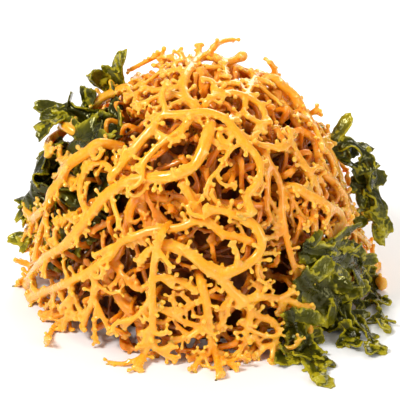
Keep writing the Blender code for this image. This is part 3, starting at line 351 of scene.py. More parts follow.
# The heart's own strands, which arch out of its core and back into it: how many, how thick and with how many
# sides, how far they swing round and rise, in degrees, and how deep they root and how high they stand
HEART_NAME = "heart_tangle"
HEART_SEED = 15
HEART_LOOPS = 30
HEART_LOOP_RADIUS = 3.0
HEART_LOOP_SIDES = 3
HEART_LOOP_STEP = 19.0
HEART_LOOP_SWINGS = (22.0, 44.0)
HEART_LOOP_RISE = 26.0
HEART_LOOP_HEIGHTS = (4.0, 68.0)
HEART_LOOP_SCATTER = 10.0
HEART_ROOT_LIFT = -42.0
HEART_LOOP_LIFT = -9.0
# The lifts of a loop by the share of its way, and the highest that it goes, in degrees up the dome
HEART_LOOP_COURSE = ((0.0, HEART_ROOT_LIFT), (0.2, HEART_LOOP_LIFT), (0.8, HEART_LOOP_LIFT),
                     (1.0, HEART_ROOT_LIFT))
HEART_LOOP_TOP = 88.0
# The feet: low strands that run down out of the heart and out along the floor, between the outer fronds. They
# are laid by an angle up the dome and a lift at each of their points
HEART_FEET = 8
HEART_FOOT_RADII = (2.9, 2.3)
HEART_FOOT_STEP = 14.0
HEART_FOOT_SCATTER = 9.0
HEART_FOOT_SWINGS = (12.0, 26.0)
HEART_FOOT_COURSE = ((13.0, -34.0), (6.0, -9.0), (0.0, 4.0))

KNOB_SEED = 7
# Successive turns by this angle, in degrees, never line up
GOLDEN_ANGLE = 137.5

# The values from here on are the scene's own. Most pairs are ranges that random draws are made in, such as
# these two, for the points that waves start at and for a direction
PHASES = (0.0, 6.3)
WHOLE_TURN = (0.0, 2 * math.pi)

# Fine skins: how finely a strand's skin follows it, and how many sides it has before the limbs of a frond
# are fused
SKIN_STEP = 1.6
SKIN_SIDES = 12
TWIG_SKIN_SIDES = 9
KNOB_SKIN_SIDES = 8
# The rings of a strand are turned to the way out of the heap, or to an odd direction where the strand itself
# sets out nearly that way. How far the middle of the last ring stands out, as a share of its radius
NEARLY_ALONG = 0.95
ODD_DIRECTION = np.array((0.31, 0.52, 0.79))
CAP_REACH = 0.35
# Strands swell and thin a little on their way: how much, and over what lengths
SWELLS = ((0.07, 5.6), (0.03, 2.3))
# A side branch flares where it leaves its strand, and a tip swells: how much, and over what length. The
# angles of the rings that close a tip round
FLARE = 0.35
FLARE_LENGTH = 3.0
TIP_SWELL = 1.22
TIP_LENGTH = 3.2
TIP_ANGLES = np.radians((35.0, 60.0, 80.0))
# How long the stretch is over which a tip is painted pale, a painted glow of light through the thin tip
TIP_GLOW_LENGTH = 5.0
# How flat the gold strands and the heart's strands are, as a share of their width
STRAND_FLATNESS = (0.84, 1.0)
HEART_FLATNESS = (0.8, 1.0)
# Where a strand begins in the open, it is led back and down into the heap by so much
SINK_BACK = 5.0
SINK_DOWN = 13.0

# New twigs on the gold strands: the stride that they grow by, their lengths and radii, how thin their ends
# are for that, how deep one may sink into another frond before it stops, and the fewest places it may have
TWIG_SEED = 23
TWIG_STRIDE = 2.5
TWIG_LENGTHS = (8.0, 22.0)
TWIG_RADII = (1.25, 1.75)
TWIG_TAPER = 0.8
TWIG_OVERLAP = 0.4
TWIG_PLACES = 3
# Where a strand's first twig is, in steps between its points, how uneven the ways between twigs are, and how
# far each leans ahead
TWIG_STARTS = (0.5, 1.2)
TWIG_UNEVEN = (0.6, 1.4)
TWIG_AHEAD = 0.7
# How a twig wanders: how much it turns at its start, how much that changes with each stride, and how
# strongly it is led back along the dome
TWIG_TURN = 0.18
TWIG_WANDER = 0.14
TWIG_CLING = 0.25
# The share of twigs that stand out of the heap, and how far these and the others lean out or dive in
TWIGS_OUT = 0.38
TWIG_RISES = (0.2, 0.9)
TWIG_DIVES = (-0.7, 0.0)

# Forks at the ends of strands and twigs: how long their prongs are, how far and how unevenly they spread,
# how far a fork is tilted and its prongs rise, how deep it roots and how thick its heads are for the radius
FORK_LENGTHS = (3.0, 5.5)
FORK_SPREAD = 0.85
FORK_UNEVEN = (0.7, 1.2)
FORK_TILT = 0.2
FORK_RISES = (-0.3, 0.3)
FORK_ROOT = 0.5
FORK_HEADS = (0.95, 1.15)
# The share of forks that have two prongs, and how far to each side the prongs of two and of three lean
FORKS_OF_TWO = 0.6
TWO_PRONGS = (-1.0, 1.0)
THREE_PRONGS = (-1.0, 0.1, 1.0)

# The profile of a round head on its stalk: how far along, and how thick, as shares of its reach and its head
KNOB_PROFILE = ((0.0, 0.85), (0.40, 0.58), (0.58, 0.60), (0.72, 0.90), (0.84, 1.0), (0.94, 0.84),
                (1.0, 0.45))
# Beads, stubs and the heads of the solids' own knobs: how far beads and stubs stand out of their strand, and
# how thick their heads are
BEAD_REACHES = (0.7, 1.5)
BEAD_HEADS = (0.8, 1.15)
STUB_REACHES = (2.8, 5.0)
STUB_HEADS = (1.25, 1.6)
KNOB_HEAD = 1.6
# Where a strand's first bead or stub is, and how uneven the ways between them are, as shares of their
# spacing. How near to the strand's end the last may be, and how far they rise out of the heap and lean ahead
HEAD_STARTS = (0.6, 1.4)
HEAD_UNEVEN = (0.5, 1.5)
HEAD_END = 1.0
HEAD_RISES = (-0.5, 0.8)
HEAD_LEANS = (-0.3, 0.5)

# Green plates: how finely they are made, their fewest rows and columns, how thick they are at the edge and
# in the middle (as half thicknesses), how long their painted pale tip is, and how fast the painted pale of
# their edge fades. That pale is a painted glow of light through the thin blade
PLATE_STEP = 1.3
PLATE_ROWS = 6
PLATE_COLUMNS = 7
PLATE_EDGE = 0.55
PLATE_MIDDLE = 0.75
PLATE_GLOW_TIP = 10.0
EDGE_GLOW_FADE = 1.5
# The waves of their outline: how wide, as a share of the plate's width, and how long. How far the waves of
# one edge are ahead of the other's
PLATE_LOBES = ((0.15, 27.0), (0.05, 11.0))
PLATE_LOBE_SHIFT = 2.2
# The ruffles of their edges: how long, how far ahead on one edge and behind on the other, and how fast they
# die down toward the middle
RUFFLE_LENGTH = 24.0
RUFFLE_SHIFT = 1.5
RUFFLE_FADE = 2
# Soft folds along a plate: how high they stand, how many cross its width, and how far and over what length
# they sway
PLATE_FOLD = 1.0
PLATE_FOLDS = 2.5
FOLD_SWAY = 0.8
FOLD_SWAY_LENGTH = 9.0
# The round bumps of a plate's edge: how far they stand out, how far apart they are, how far and over what
# length they sway, how far ahead on one edge, and how fast they die down toward the middle
SCALLOP = 1.5
SCALLOP_LENGTH = 6.5
SCALLOP_SWAY = 0.8
SCALLOP_SWAY_LENGTH = 7.0
SCALLOP_SHIFT = 1.7
SCALLOP_FADE = 4

# Round side lobes along a plate's edges: where the first is, how far apart they are, how near to the tip the
# last may be, how far they lean ahead, how long they are, how wide for that, and how deep they root
LOBE_STARTS = (6.0, 16.0)
LOBE_SPACING = (15.0, 26.0)
LOBE_END = 4.0
LOBE_LEANS = (0.5, 1.2)
LOBE_REACHES = (5.0, 10.0)
LOBE_WIDTHS = (0.50, 0.72)
LOBE_ROOT = 4.0
# The lobes at the tip: how far across it each stands and how far aside it leans, and how uneven that is
TIP_LOBES = ((0.2, -0.6), (0.8, 0.6))
TIP_LOBE_UNEVEN = (-0.2, 0.2)
# A lobe's fewest rows and columns, how wide it is at its root, how much and how late it narrows to its tip,
# and how far the middle of its tip is rounded out
LOBE_ROWS = 6
LOBE_COLUMNS = 5
LOBE_WAIST = 0.75
LOBE_NARROWING = 0.75
LOBE_BLUNTNESS = 5
LOBE_CROWN = 0.45
# The waves of a lobe's sides, surface and tip: how far they go, and how close together they are. How far
# it curls up or down, as a share of its length, how pale it is painted in its middle, and how much paler at
# its edge, a painted glow of light through the thin lobe
LOBE_UNEVEN = (0.10, 2.2)
LOBE_WAVE = (1.2, 2.5)
LOBE_NOTCHES = (0.12, 7.0)
LOBE_CURLS = (-0.25, 0.35)
LOBE_GLOW_TONES = (0.1, 0.75)

# Fingers along a plate's edges: where the first is, how far apart they are, how far they stand out, how
# thick they are, how far they lean ahead and curl, how flat they are, and how much thicker at the root
FINGER_SEED = 5
FINGER_STARTS = (2.0, 7.0)
FINGER_SPACING = (11.0, 24.0)
FINGER_REACHES = (0.8, 3.0)
FINGER_SIZES = (1.5, 2.3)
FINGER_LEANS = (0.1, 0.9)
FINGER_CURLS = (-0.35, 0.35)
FINGER_FLATNESS = 0.42
FINGER_ROOT = 1.25
# The fingers at the tip: how far across it they stand, and how they differ from the others
TIP_FINGERS = (0.12, 0.5, 0.88)
TIP_FINGER_REACHES = (3.0, 6.5)
TIP_FINGER_SIZES = (2.4, 3.4)
TIP_FINGER_LEANS = (-0.5, 0.5)

# The heart's crowded strands: how many pieces they are shared out to, how deep they lie under the dome, how
# thick and how long they are, how thin their ends are for that, and how far apart their beads are
HEART_STRAND_SEED = 3
HEART_PIECES = 5
HEART_LIFTS = (-22.0, -18.0, -15.0, -12.0, -10.0, -8.0)
HEART_STRAND_RADII = (1.3, 2.1)
HEART_STRAND_LENGTHS = (35.0, 75.0)
HEART_STRAND_TAPER = 0.75
HEART_BEAD_SPACING = 5.0
# How much more of them start at the top, how far they head down, how many turns are drawn for them and how
# strong these are, and how many times they are bent clear of the outer fronds
HEART_TOP_SHARE = 1.04
HEART_FALL = 0.5
HEART_TURNS = 40
HEART_WANDER = 0.8
HEART_BENDS = 3
# A direction that is nearly up, and never quite the way out of the dome
NEARLY_UP = (0.02, 0.01, 1.0)
# How thick the round skins of the heart's own three-sided loops and feet are, as a share of their radius
HEART_ROUND = 0.78
# The heart's core: how big it is, as a share of the core in the solids, how high its ridges stand for that,
# how closely they lie and how steep they are, and how finely it is made
CORE_SHARE = 0.92
CORE_RIDGE = 0.07
CORE_RIDGES = 9.0
CORE_STEEPNESS = 1.5
CORE_ROWS = 70
CORE_COLUMNS = 150

# How many times each skin is smoothed, and how strongly
SOFTEN_ROUNDS = 3
SOFTEN_FACTOR = 0.5

# Finishes. Depths are shares of the way from the heap's middle to its dome, patterns have their scale in
# waves to the metre, and bumps are a pattern, a strength and a height in metres. Noise keeps mostly between
# these pairs of values, and is stretched from one of them to the range that is wanted
MIDDLING = (0.3, 0.7)
NEAR_MIDDLING = (0.35, 0.65)
# Painted shade: the depths between which the gold is painted from its deep shade to its bright colour, on the
# fronds and in the heart, and where along that way each of its three colours lies: deep and shaded are
# painted shade, bright is the gold's own colour
GOLD_SHADE_DEPTHS = (0.80, 1.02)
HEART_SHADE_DEPTHS = (0.83, 1.10)
GOLD_SHADE_STOPS = (0.0, 0.45, 1.0)
GOLD_MOTTLE = Noise(170.0)
GOLD_MOTTLING = (-0.10, 0.10)
# Painted glow: tips are painted paler, as if light shone through them, the further out they are: from which
# depth, and how pale from there to the outside
TIP_GLOW_DEPTHS = (0.3, 1.0)
TIP_GLOW_STRENGTHS = (0.2, 0.6)
GOLD_SHEEN = Noise(420.0, detail=2.0)
GOLD_ROUGHER = 0.14
GOLD_BUMPS = ((Noise(230.0, roughness=0.55, distortion=0.5), 0.55, 0.0009),
              (Noise(800.0, detail=2.0), 0.3, 0.0003))
GOLD_SURFACE = {
    "Subsurface Weight": 1.0,
    "Subsurface Radius": (1.0, 0.55, 0.12),
    "Specular IOR Level": 0.4,
    "Specular Tint": (1.0, 0.8, 0.45, 1.0),
    "Coat Weight": 0.75,
    "Coat Roughness": 0.045,
}
# Green is painted from dark to pale toward the edges, painted shade in the thick middle and a painted glow of
# light through the thin edges, with mottling and patches of its own, and painted lighter toward the outside
# and darker inside the heap, painted shade
GREEN_STOPS = (0.0, 0.5, 1.0)
GREEN_EDGE_GLOW_POWER = 2.0
GREEN_MOTTLE = Noise(95.0, 4.0, 0.6, 0.6)
GREEN_MOTTLING = (-0.18, 0.18)
GREEN_PATCH = Noise(24.0, detail=2.0)
GREEN_PATCHES = (-0.45, 0.30)
GREEN_SHADE_DEPTHS = (0.8, 1.12)
GREEN_PAINTED_SHADE = (-0.25, 0.15)
GREEN_SHEEN = Noise(300.0, detail=2.0)
GREEN_ROUGHER = 0.12
GREEN_BUMPS = ((Noise(75.0, roughness=0.55, distortion=1.5), 0.9, 0.0022),
               (Noise(500.0, detail=2.0), 0.25, 0.0003))
GREEN_SURFACE = {
    "Subsurface Weight": 0.4,
    "Subsurface Radius": (0.8, 1.0, 0.15),
    "Specular IOR Level": 0.5,
    "Specular Tint": (0.95, 0.9, 0.4, 1.0),
}
# The core's painted shade: where its two colours lie along its mottling
CORE_SHADE_STOPS = (0.35, 0.65)
CORE_MOTTLE = Noise(90.0, detail=4.0)
CORE_SHEEN = Noise(200.0)
CORE_ROUGHNESS = (0.45, 0.7)
CORE_BUMPS = ((Noise(160.0, detail=4.0), 0.6, 0.002),)
CORE_SURFACE = {"Specular IOR Level": 0.15}
FLOOR_SURFACE = {"Roughness": 0.6}

# The stage, in metres: where the lights stand and aim and how wide they are. How many pixels the frame has
# across, and how far above the heap's foot the camera aims, in millimetres up the picture
WHITE = (1.0, 1.0, 1.0)
WARM_WHITE = (1.0, 0.97, 0.92)
LIGHTS = (Light("key", 0.3, (-0.55, -0.45, 0.85), WHITE),
          Light("fill", 0.45, (0.8, -0.7, 0.45), WHITE),
          Light("back", 0.7, (0.25, 0.8, 0.6), WARM_WHITE))
LIGHTS_AIM = (0.0, 0.0, 0.06)
FRAME_PIXELS = 400
RAISED = 51.3

RIGHT = np.array((1.0, 0.0, 0.0))
UP = np.array((0.0, math.sin(VIEW_TILT), math.cos(VIEW_TILT)))
AWAY = np.array((0.0, math.cos(VIEW_TILT), -math.sin(VIEW_TILT)))


def unit(vector):
    return vector / np.maximum(np.linalg.norm(vector, axis=-1, keepdims=True), 1e-9)


def outward(place):
    """The direction that faces out of the dome at a place, or at each of several."""
    return unit(place / HEAP ** 2 + np.array((0.0, 0.0, 1e-4)))


def drop_on_heap(across, up, lift, radius):
    """The place on the dome, raised by lift, that lies behind a point of the picture plane."""
    size = HEAP + lift
    start = across * RIGHT + up * UP
    a = np.sum((AWAY / size) ** 2)
    b = 2 * np.sum(start * AWAY / size ** 2)
    c = np.sum((start / size) ** 2) - 1
    depth = (-b - math.sqrt(max(b * b - 4 * a * c, 0.0))) / (2 * a)
    place = start + depth * AWAY
    if place[2] < radius:
        place = start + (start[2] - radius) / math.sin(VIEW_TILT) * AWAY
    return place


def smooth_curve(route, step):
    """Points about one step apart on a smooth curve through the route's points."""
    route = np.array(route, float)
    ends = np.vstack((2 * route[0] - route[1], route, 2 * route[-1] - route[-2]))
    fine = []
    for before, start, end, after in zip(ends, ends[1:], ends[2:], ends[3:]):
        for t in np.linspace(0, 1, 12, endpoint=False):
            bend = (2 * before - 5 * start + 4 * end - after) * t * t
            twist = (3 * start - before - 3 * end + after) * t ** 3
            fine.append(0.5 * (2 * start + (end - before) * t + bend + twist))
    fine = np.array(fine + [route[-1]])
    travelled = np.concatenate(((0.0,), np.cumsum(np.linalg.norm(np.diff(fine, axis=0), axis=1))))
    stops = np.linspace(0, travelled[-1], max(2, round(travelled[-1] / step) + 1))
    return np.stack([np.interp(stops, travelled, fine[:, k]) for k in range(fine.shape[1])], axis=1)


def march(start, heading, length, lift, turns, radius):
    """A route that wanders over the dome from a start, and runs out along the floor once it is down."""
    route = [np.array(start, float)]
    heading = np.array(heading, float)
    for turn in turns[:max(2, round(length / RING_STEP))]:
        here = route[-1]
        normal = outward(here)
        heading = unit(heading - normal * heading.dot(normal))
        heading = unit(heading + turn * np.cross(normal, heading))
        there = here + RING_STEP * heading
        if here[2] > radius:
            there = there / np.linalg.norm(there / (HEAP + lift))
        if there[2] < radius:
            away = unit(np.array((here[0], here[1], 0.0)))
            there = here + RING_STEP * unit(np.array((heading[0], heading[1], 0.0)) + FLOOR_SPREAD * away)
            there[2] = radius
            heading = unit(there - here)
        route.append(there)
    return np.array(route)


def find_near_pairs(samples, places):
    """Pairs of samples on different fronds that are near enough to touch before the next search."""
    tree = kdtree.KDTree(len(places))
    for number, place in enumerate(places):
        tree.insert(place, number)
    tree.balance()
    pairs = []
    for number, (sample, place) in enumerate(zip(samples, places)):
        for _, other, _ in tree.find_range(place, sample.radius + THICKEST + GAP + SLACK):
            if other > number and samples[other].frond != sample.frond:
                pairs.append((number, other))
    return np.array(pairs or [(0, 0)]).T


def spread(count, indices, moves):
    """The sum of the moves that each of a number of points is given."""
    total = np.zeros((count, moves.shape[-1]))
    np.add.at(total, indices, moves)
    return total


class Tangle:
    """The points of every frond, the links that hold them together and the samples that keep them apart."""

    def __init__(self):
        self.points = []
        self.lowest = []
        self.links = []
        self.samples = []
        self.limbs = []

    def add_point(self, place, lowest):
        self.points.append(np.array(place, float))
        self.lowest.append(lowest)
        return len(self.points) - 1

    def link(self, stiffness, pairs):
        for a, b in pairs:
            self.links.append((a, b, stiffness))

    def limbs_of(self, frond):
        return [limb for limb in self.limbs if limb["frond"] == frond]

    def nearest_point(self, frond, place):
        """The point of a frond's limbs nearest to a place, with its neighbours along that limb."""
        best = None
        for limb in self.limbs_of(frond):
            spine = limb["spine"]
            for order, index in enumerate(spine):
                distance = np.linalg.norm(self.points[index] - place)
                if best is None or distance < best[0]:
                    best = (distance, index, spine[max(0, order - 1):order + 2])
        return best[1:]

    def add_strand(self, frond, places, radii, lift, root=None, sides=TWIG_SIDES):
        """A round strand through places, fused at its root to a point of its own frond."""
        indices = [] if root is None else [root[0]]
        for place, radius in list(zip(places, radii))[len(indices):]:
            indices.append(self.add_point(place, radius))
        self.link(STRETCH, zip(indices, indices[1:]))
        self.link(STRAND_BEND, zip(indices, indices[2:]))
        if root is not None:
            self.link(STRAND_BEND, [(indices[1], neighbour) for neighbour in root[1]])
        layer = lift + LAYER_STEP * len(self.limbs)
        for order, (a, b) in enumerate(zip(indices, indices[1:])):
            steps = math.ceil(np.linalg.norm(self.points[a] - self.points[b]) / SAMPLE_STEP)
            for part in np.linspace(0, 1, steps + 1):
                radius = radii[order] * (1 - part) + radii[order + 1] * part
                self.samples.append(Sample((a, b, a, a), (1 - part, part, 0, 0), radius, frond, layer))
        limb = {"frond": frond, "kind": "strand", "spine": indices, "radii": radii, "sides": sides}
        self.limbs.append(limb)

    def add_blade(self, frond, grid, lift, root=None):
        """A thin strap through a grid of places, sunk at its root into a blade of its own frond."""
        rows = [[self.add_point(place, BLADE_THICKNESS) for place in row] for row in grid]
        middle = len(rows[0]) // 2
        for row in rows:
            self.link(STRETCH, zip(row, row[1:]))
            self.link(BLADE_BEND, [(row[0], row[-1])])
        for row, following in zip(rows, rows[1:]):
            self.link(STRETCH, zip(row, following))
            self.link(SHEAR, zip(row, following[1:]))
            self.link(SHEAR, zip(row[1:], following))
        self.link(BLADE_BEND, [(row[middle], later[middle]) for row, later in zip(rows, rows[2:])])
        if root is not None:
            self.link(STRETCH, [(index, neighbour) for index in rows[0] + rows[1] for neighbour in root[1]])
        layer = lift + LAYER_STEP * len(self.limbs)
        for row, following in zip(rows, rows[1:]):
            for corners in zip(row, row[1:], following, following[1:]):
                self.sample_patch(frond, corners, layer)
        spine = [row[middle] for row in rows]
        self.limbs.append({"frond": frond, "kind": "blade", "spine": spine, "rows": rows})

    def sample_patch(self, frond, corners, layer):
        """Samples spread evenly over one four-cornered patch of a blade."""
        a, b, c, d = [self.points[corner] for corner in corners]
        rows = math.ceil(max(np.linalg.norm(c - a), np.linalg.norm(d - b)) / BLADE_SAMPLE_STEP)
        columns = math.ceil(max(np.linalg.norm(b - a), np.linalg.norm(d - c)) / BLADE_SAMPLE_STEP)
        radius = 0.5 * BLADE_THICKNESS + BLADE_MARGIN
        for down in np.linspace(0, 1, rows + 1):
            for over in np.linspace(0, 1, columns + 1):
                weights = ((1 - down) * (1 - over), (1 - down) * over, down * (1 - over), down * over)
                self.samples.append(Sample(corners, weights, radius, frond, layer))

    def settle(self):
        """Part the fronds until none touches another, the floor or the heart, and centre the heap.

        Returns the shift that the centring took off every point.
        """
        points = np.array(self.points)
        home = points.copy()
        count = len(points)
        lowest = np.array(self.lowest)[:, None]
        ends = np.array([link[:2] for link in self.links]).T
        hold = np.array([link[2] for link in self.links])[:, None]
        rest = np.linalg.norm(points[ends[0]] - points[ends[1]], axis=1)[:, None]
        share = spread(count, ends[0], hold) + spread(count, ends[1], hold)
        corners = np.array([sample.corners for sample in self.samples])
        weights = np.array([sample.weights for sample in self.samples])[:, :, None]
        radius = np.array([sample.radius for sample in self.samples])
        layer = np.array([sample.layer for sample in self.samples])
        free = np.ones((count, 1), bool)
        for limb in self.limbs_of(HEART_NAME):
            free[limb["spine"]] = False
        room = HEART + lowest + GAP + HEART_GAP
        for turn in range(ROUNDS):
            places = (points[corners] * weights).sum(axis=1)
            if turn % REFRESH == 0:
                first, second = find_near_pairs(self.samples, places)
                want = (radius[first] + radius[second] + GAP)[:, None]
                over = np.sign(layer[first] - layer[second])[:, None]
            apart = places[first] - places[second]
            distance = np.maximum(np.linalg.norm(apart, axis=1)[:, None], 1e-6)
            short = np.maximum(want - distance, 0.0)
            push = apart / distance + LAYERING * (short / want) * over * outward(places[first])
            push *= 0.5 * short / np.maximum(np.linalg.norm(push, axis=1)[:, None], 1e-6)
            touching = short[:, 0] > 0
            move, load = np.zeros((count, 3)), np.zeros((count, 1))
            for side, sign in ((first[touching], 1.0), (second[touching], -1.0)):
                move += spread(count, corners[side], sign * weights[side] * push[touching][:, None, :])
                load += spread(count, corners[side], weights[side])
            points += PUSH * move / np.maximum(load, 1.0)
            if turn < HOMING_SHARE * ROUNDS:
                points += HOMING * (home - points)
            for _ in range(2):
                span = points[ends[1]] - points[ends[0]]
                length = np.maximum(np.linalg.norm(span, axis=1)[:, None], 1e-6)
                pull = 0.5 * hold * span * (length - rest) / length
                points += PULL * (spread(count, ends[0], pull) - spread(count, ends[1], pull)) / share
            depth = np.linalg.norm(points / room, axis=1)[:, None]
            points = np.where(free & (depth < 1.0), points / np.maximum(depth, 0.05), points)
            points[:, 2:] = np.maximum(points[:, 2:], lowest)
        middle = 0.5 * ((points - lowest).min(axis=0) + (points + lowest).max(axis=0))
        points -= np.array((middle[0], middle[1], 0.0))
        self.points = points
        return middle


def tapered(root_radius, tip_radius, count):
    """Radii that thin evenly along a strand, with a last one that swells into a knob."""
    radii = list(np.linspace(root_radius, tip_radius, count))
    radii[-1] *= END_SWELL
    return radii


def sides_for(radius):
    """The number of flat sides that a strand of a radius has."""
    return 5 if radius > SIDE_RADII[0] else 4 if radius > SIDE_RADII[1] else 3


def lay_front_fronds(tangle):
    """Gold fronds on the drawn routes, each strand after the first starting on one before it."""
    for name, strands in GOLD_FRONDS.items():
        for number, strand in enumerate(strands):
            route = [drop_on_heap(across, up, strand.lift, strand.root_radius) for across, up in strand.route]
            root = None
            if number:
                root = tangle.nearest_point(name, route[0])
                route[0] = tangle.points[root[0]]
            places = smooth_curve(route, TWIG_STEP if number else RING_STEP)
            radii = tapered(strand.root_radius, strand.tip_radius, len(places))
            sides = sides_for(strand.root_radius)
            tangle.add_strand(name, places, radii, strand.lift, root, sides)


def blade_grid(spine, half_widths, phase, facing):
    """Rows of places across a waved strap whose middle follows a spine, turned partly to face a direction."""
    grid = []
    for order, place in enumerate(spine):
        ahead = spine[min(order + 1, len(spine) - 1)] - spine[max(order - 1, 0)]
        normal = unit(outward(place) + facing)
        across = unit(np.cross(normal, ahead))
        half = half_widths[order]
        columns = (-1.0, 0.0, 1.0) if max(half_widths) < WIDE_BLADE else (-1.0, -0.4, 0.4, 1.0)
        row = []
        for column in columns:
            wave = math.sin(BLADE_WAVE_TURN * order + phase + BLADE_WAVE_SHIFT * column)
            ruffle = math.sin(BLADE_RUFFLE_TURN * order + phase + BLADE_RUFFLE_SHIFT * column)
            reach = half * column * (1.0 + BLADE_RUFFLE * ruffle)
            rise = BLADE_WAVE * half * wave * abs(column)
            row.append(place + across * reach + normal * rise)
        grid.append(row)
    return grid


def lay_blade(tangle, name, number, spine, half_widths, lift, facing):
    """One blade along a spine: the first of its frond, or one that starts on a blade before it."""
    root = None
    if number:
        root = tangle.nearest_point(name, spine[0])
        spine[0] = tangle.points[root[0]]
    spine = smooth_curve(spine, BLADE_STEP)
    stops = np.linspace(0, len(half_widths) - 1, len(spine))
    widths = np.interp(stops, range(len(half_widths)), half_widths)
    tangle.add_blade(name, blade_grid(spine, widths, number + len(name), facing), lift, root)


def lay_green_fronds(tangle):
    """Green fronds on the drawn routes, turned to show their flat sides to the front."""
    for name, blades in GREEN_FRONDS.items():
        for number, blade in enumerate(blades):
            spine = [drop_on_heap(across, up, blade.lift, BLADE_FLOOR) for across, up in blade.route]
            lay_blade(tangle, name, number, spine, blade.half_widths, blade.lift, -BLADE_FACING * AWAY)


def place_on_dome(turn, height, lift):
    """The place on the dome at an angle round it and an angle up it, both in degrees."""
    a, h = math.radians(turn), math.radians(height)
    return (HEAP + lift) * np.array((math.cos(h) * math.cos(a), math.cos(h) * math.sin(a), math.sin(h)))


def wandering_turns(random, count, strength):
    """Gentle turns to left and right that drift from one to the next."""
    swings = random.normal(0.0, strength, count // 3 + 3)
    return np.interp(np.linspace(0, len(swings) - 1, count), range(len(swings)), swings)


def lay_back_fronds(tangle):
    """Gold fronds down and across the sides and back: every other one starts lower and sweeps round."""
    random = np.random.RandomState(BACK_SEED)
    stops = np.linspace(0.0, 1.0, 8)
    for number in range(BACK_FRONDS):
        name = f"gold_frond_back_{number + 1}"
        low = number % 2
        lift, starts = (LOW_LIFT, LOW_STARTS) if low else (HIGH_LIFT, HIGH_STARTS)
        middle_turn = np.interp(number, (0, BACK_FRONDS - 1), BACK_SPAN)
        sweep = random.choice((-1, 1)) * (LOW_SWEEP if low else HIGH_LEAN)
        sway = random.uniform(*BACK_SWAY) * np.sin(2 * math.pi * (BACK_SWAYS * stops + random.uniform()))
        turns = middle_turn + sweep * (stops - 0.5) + sway
        heights = np.linspace(random.uniform(*starts), 0.0, len(stops))
        route = [place_on_dome(turn, height, lift) for turn, height in zip(turns, heights)]
        route[-1] *= BACK_RUN_OUT
        places = smooth_curve(route, RING_STEP)
        places[:, 2] = np.maximum(places[:, 2], BACK_RADII[0])
        radii = tapered(*BACK_RADII, len(places))
        tangle.add_strand(name, places, radii, lift)
        spine = tangle.limbs[-1]["spine"]
        for twig in range(BACK_TWIGS):
            order = 1 + round((len(spine) - 4) * (twig + random.uniform(*BACK_TWIG_STARTS)) / BACK_TWIGS)
            here = tangle.points[spine[order]]
            along = tangle.points[spine[order + 1]] - here
            aside = np.cross(outward(here), along) * (1 if twig % 2 else -1)
            turns = wandering_turns(random, TURNS, BACK_TWIG_WANDER)
            length = random.uniform(*BACK_TWIG_LENGTHS)
            heading = BACK_TWIG_AHEAD * along + aside
            places = march(here, heading, length, lift + 1, turns, BACK_TWIG_RADII[0])
            root = (spine[order], spine[order - 1:order + 2])
            tangle.add_strand(name, places, tapered(*BACK_TWIG_RADII, len(places)), lift, root)
    for number in range(BACK_GREEN):
        name = f"green_frond_back_{number + 1}"
        turn = np.interp(number, (0, BACK_GREEN - 1), BACK_GREEN_SPAN)
        start = place_on_dome(turn, random.uniform(*BACK_GREEN_STARTS), BACK_GREEN_LIFT)
        sideways = np.cross(outward(start), (0.0, 0.0, 1.0))
        lean = random.uniform(-BACK_GREEN_LEAN, BACK_GREEN_LEAN)
        heading = np.array((0.0, 0.0, -1.0)) + lean * sideways
        turns = wandering_turns(random, TURNS, BACK_GREEN_WANDER)
        spine = march(start, heading, BACK_GREEN_LENGTH, BACK_GREEN_LIFT, turns, BLADE_FLOOR)
        lay_blade(tangle, name, 0, spine, BACK_GREEN_WIDTHS, BACK_GREEN_LIFT, np.zeros(3))


def lay_heart_strands(tangle):
    """Strands that arch out of the heart and back into it, spread evenly over it, and the feet round it."""
    random = np.random.RandomState(HEART_SEED)
    for number in range(HEART_LOOPS):
        level = math.sin(math.radians(HEART_LOOP_HEIGHTS[1])) * (number + 0.5) / HEART_LOOPS
        height = max(math.degrees(math.asin(level)), HEART_LOOP_HEIGHTS[0])
        turn = GOLDEN_ANGLE * number + random.uniform(-HEART_LOOP_SCATTER, HEART_LOOP_SCATTER)
        swing = random.choice((-1, 1)) * random.uniform(*HEART_LOOP_SWINGS) / math.cos(math.radians(height))
        rise = random.uniform(-HEART_LOOP_RISE, HEART_LOOP_RISE)
        route = []
        for part, lift in HEART_LOOP_COURSE:
            angle = min(max(height + part * rise, HEART_LOOP_HEIGHTS[0]), HEART_LOOP_TOP)
            route.append(place_on_dome(turn + part * swing, angle, lift))
        places = smooth_curve(route, HEART_LOOP_STEP)
        radii = [HEART_LOOP_RADIUS] * len(places)
        tangle.add_strand(HEART_NAME, places, radii, HEART_LOOP_LIFT, None, HEART_LOOP_SIDES)
    for number in range(HEART_FEET):
        turn = 360.0 * number / HEART_FEET + random.uniform(-HEART_FOOT_SCATTER, HEART_FOOT_SCATTER)
        swing = random.choice((-1, 1)) * random.uniform(*HEART_FOOT_SWINGS)
        route = []
        for part, (height, lift) in zip((0.0, 0.5, 1.0), HEART_FOOT_COURSE):
            route.append(place_on_dome(turn + part * swing, height, lift))
        places = smooth_curve(route, HEART_FOOT_STEP)
        radii = tapered(*HEART_FOOT_RADII, len(places))
        places[:, 2] = np.maximum(places[:, 2], radii)
        tangle.add_strand(HEART_NAME, places, radii, HEART_LOOP_LIFT, None, HEART_LOOP_SIDES)


def knob_base(place, onward):
    """Where a knob's stalk starts, between a point of its strand and the next one."""
    return (1.0 - KNOB_ROOT) * place + KNOB_ROOT * onward


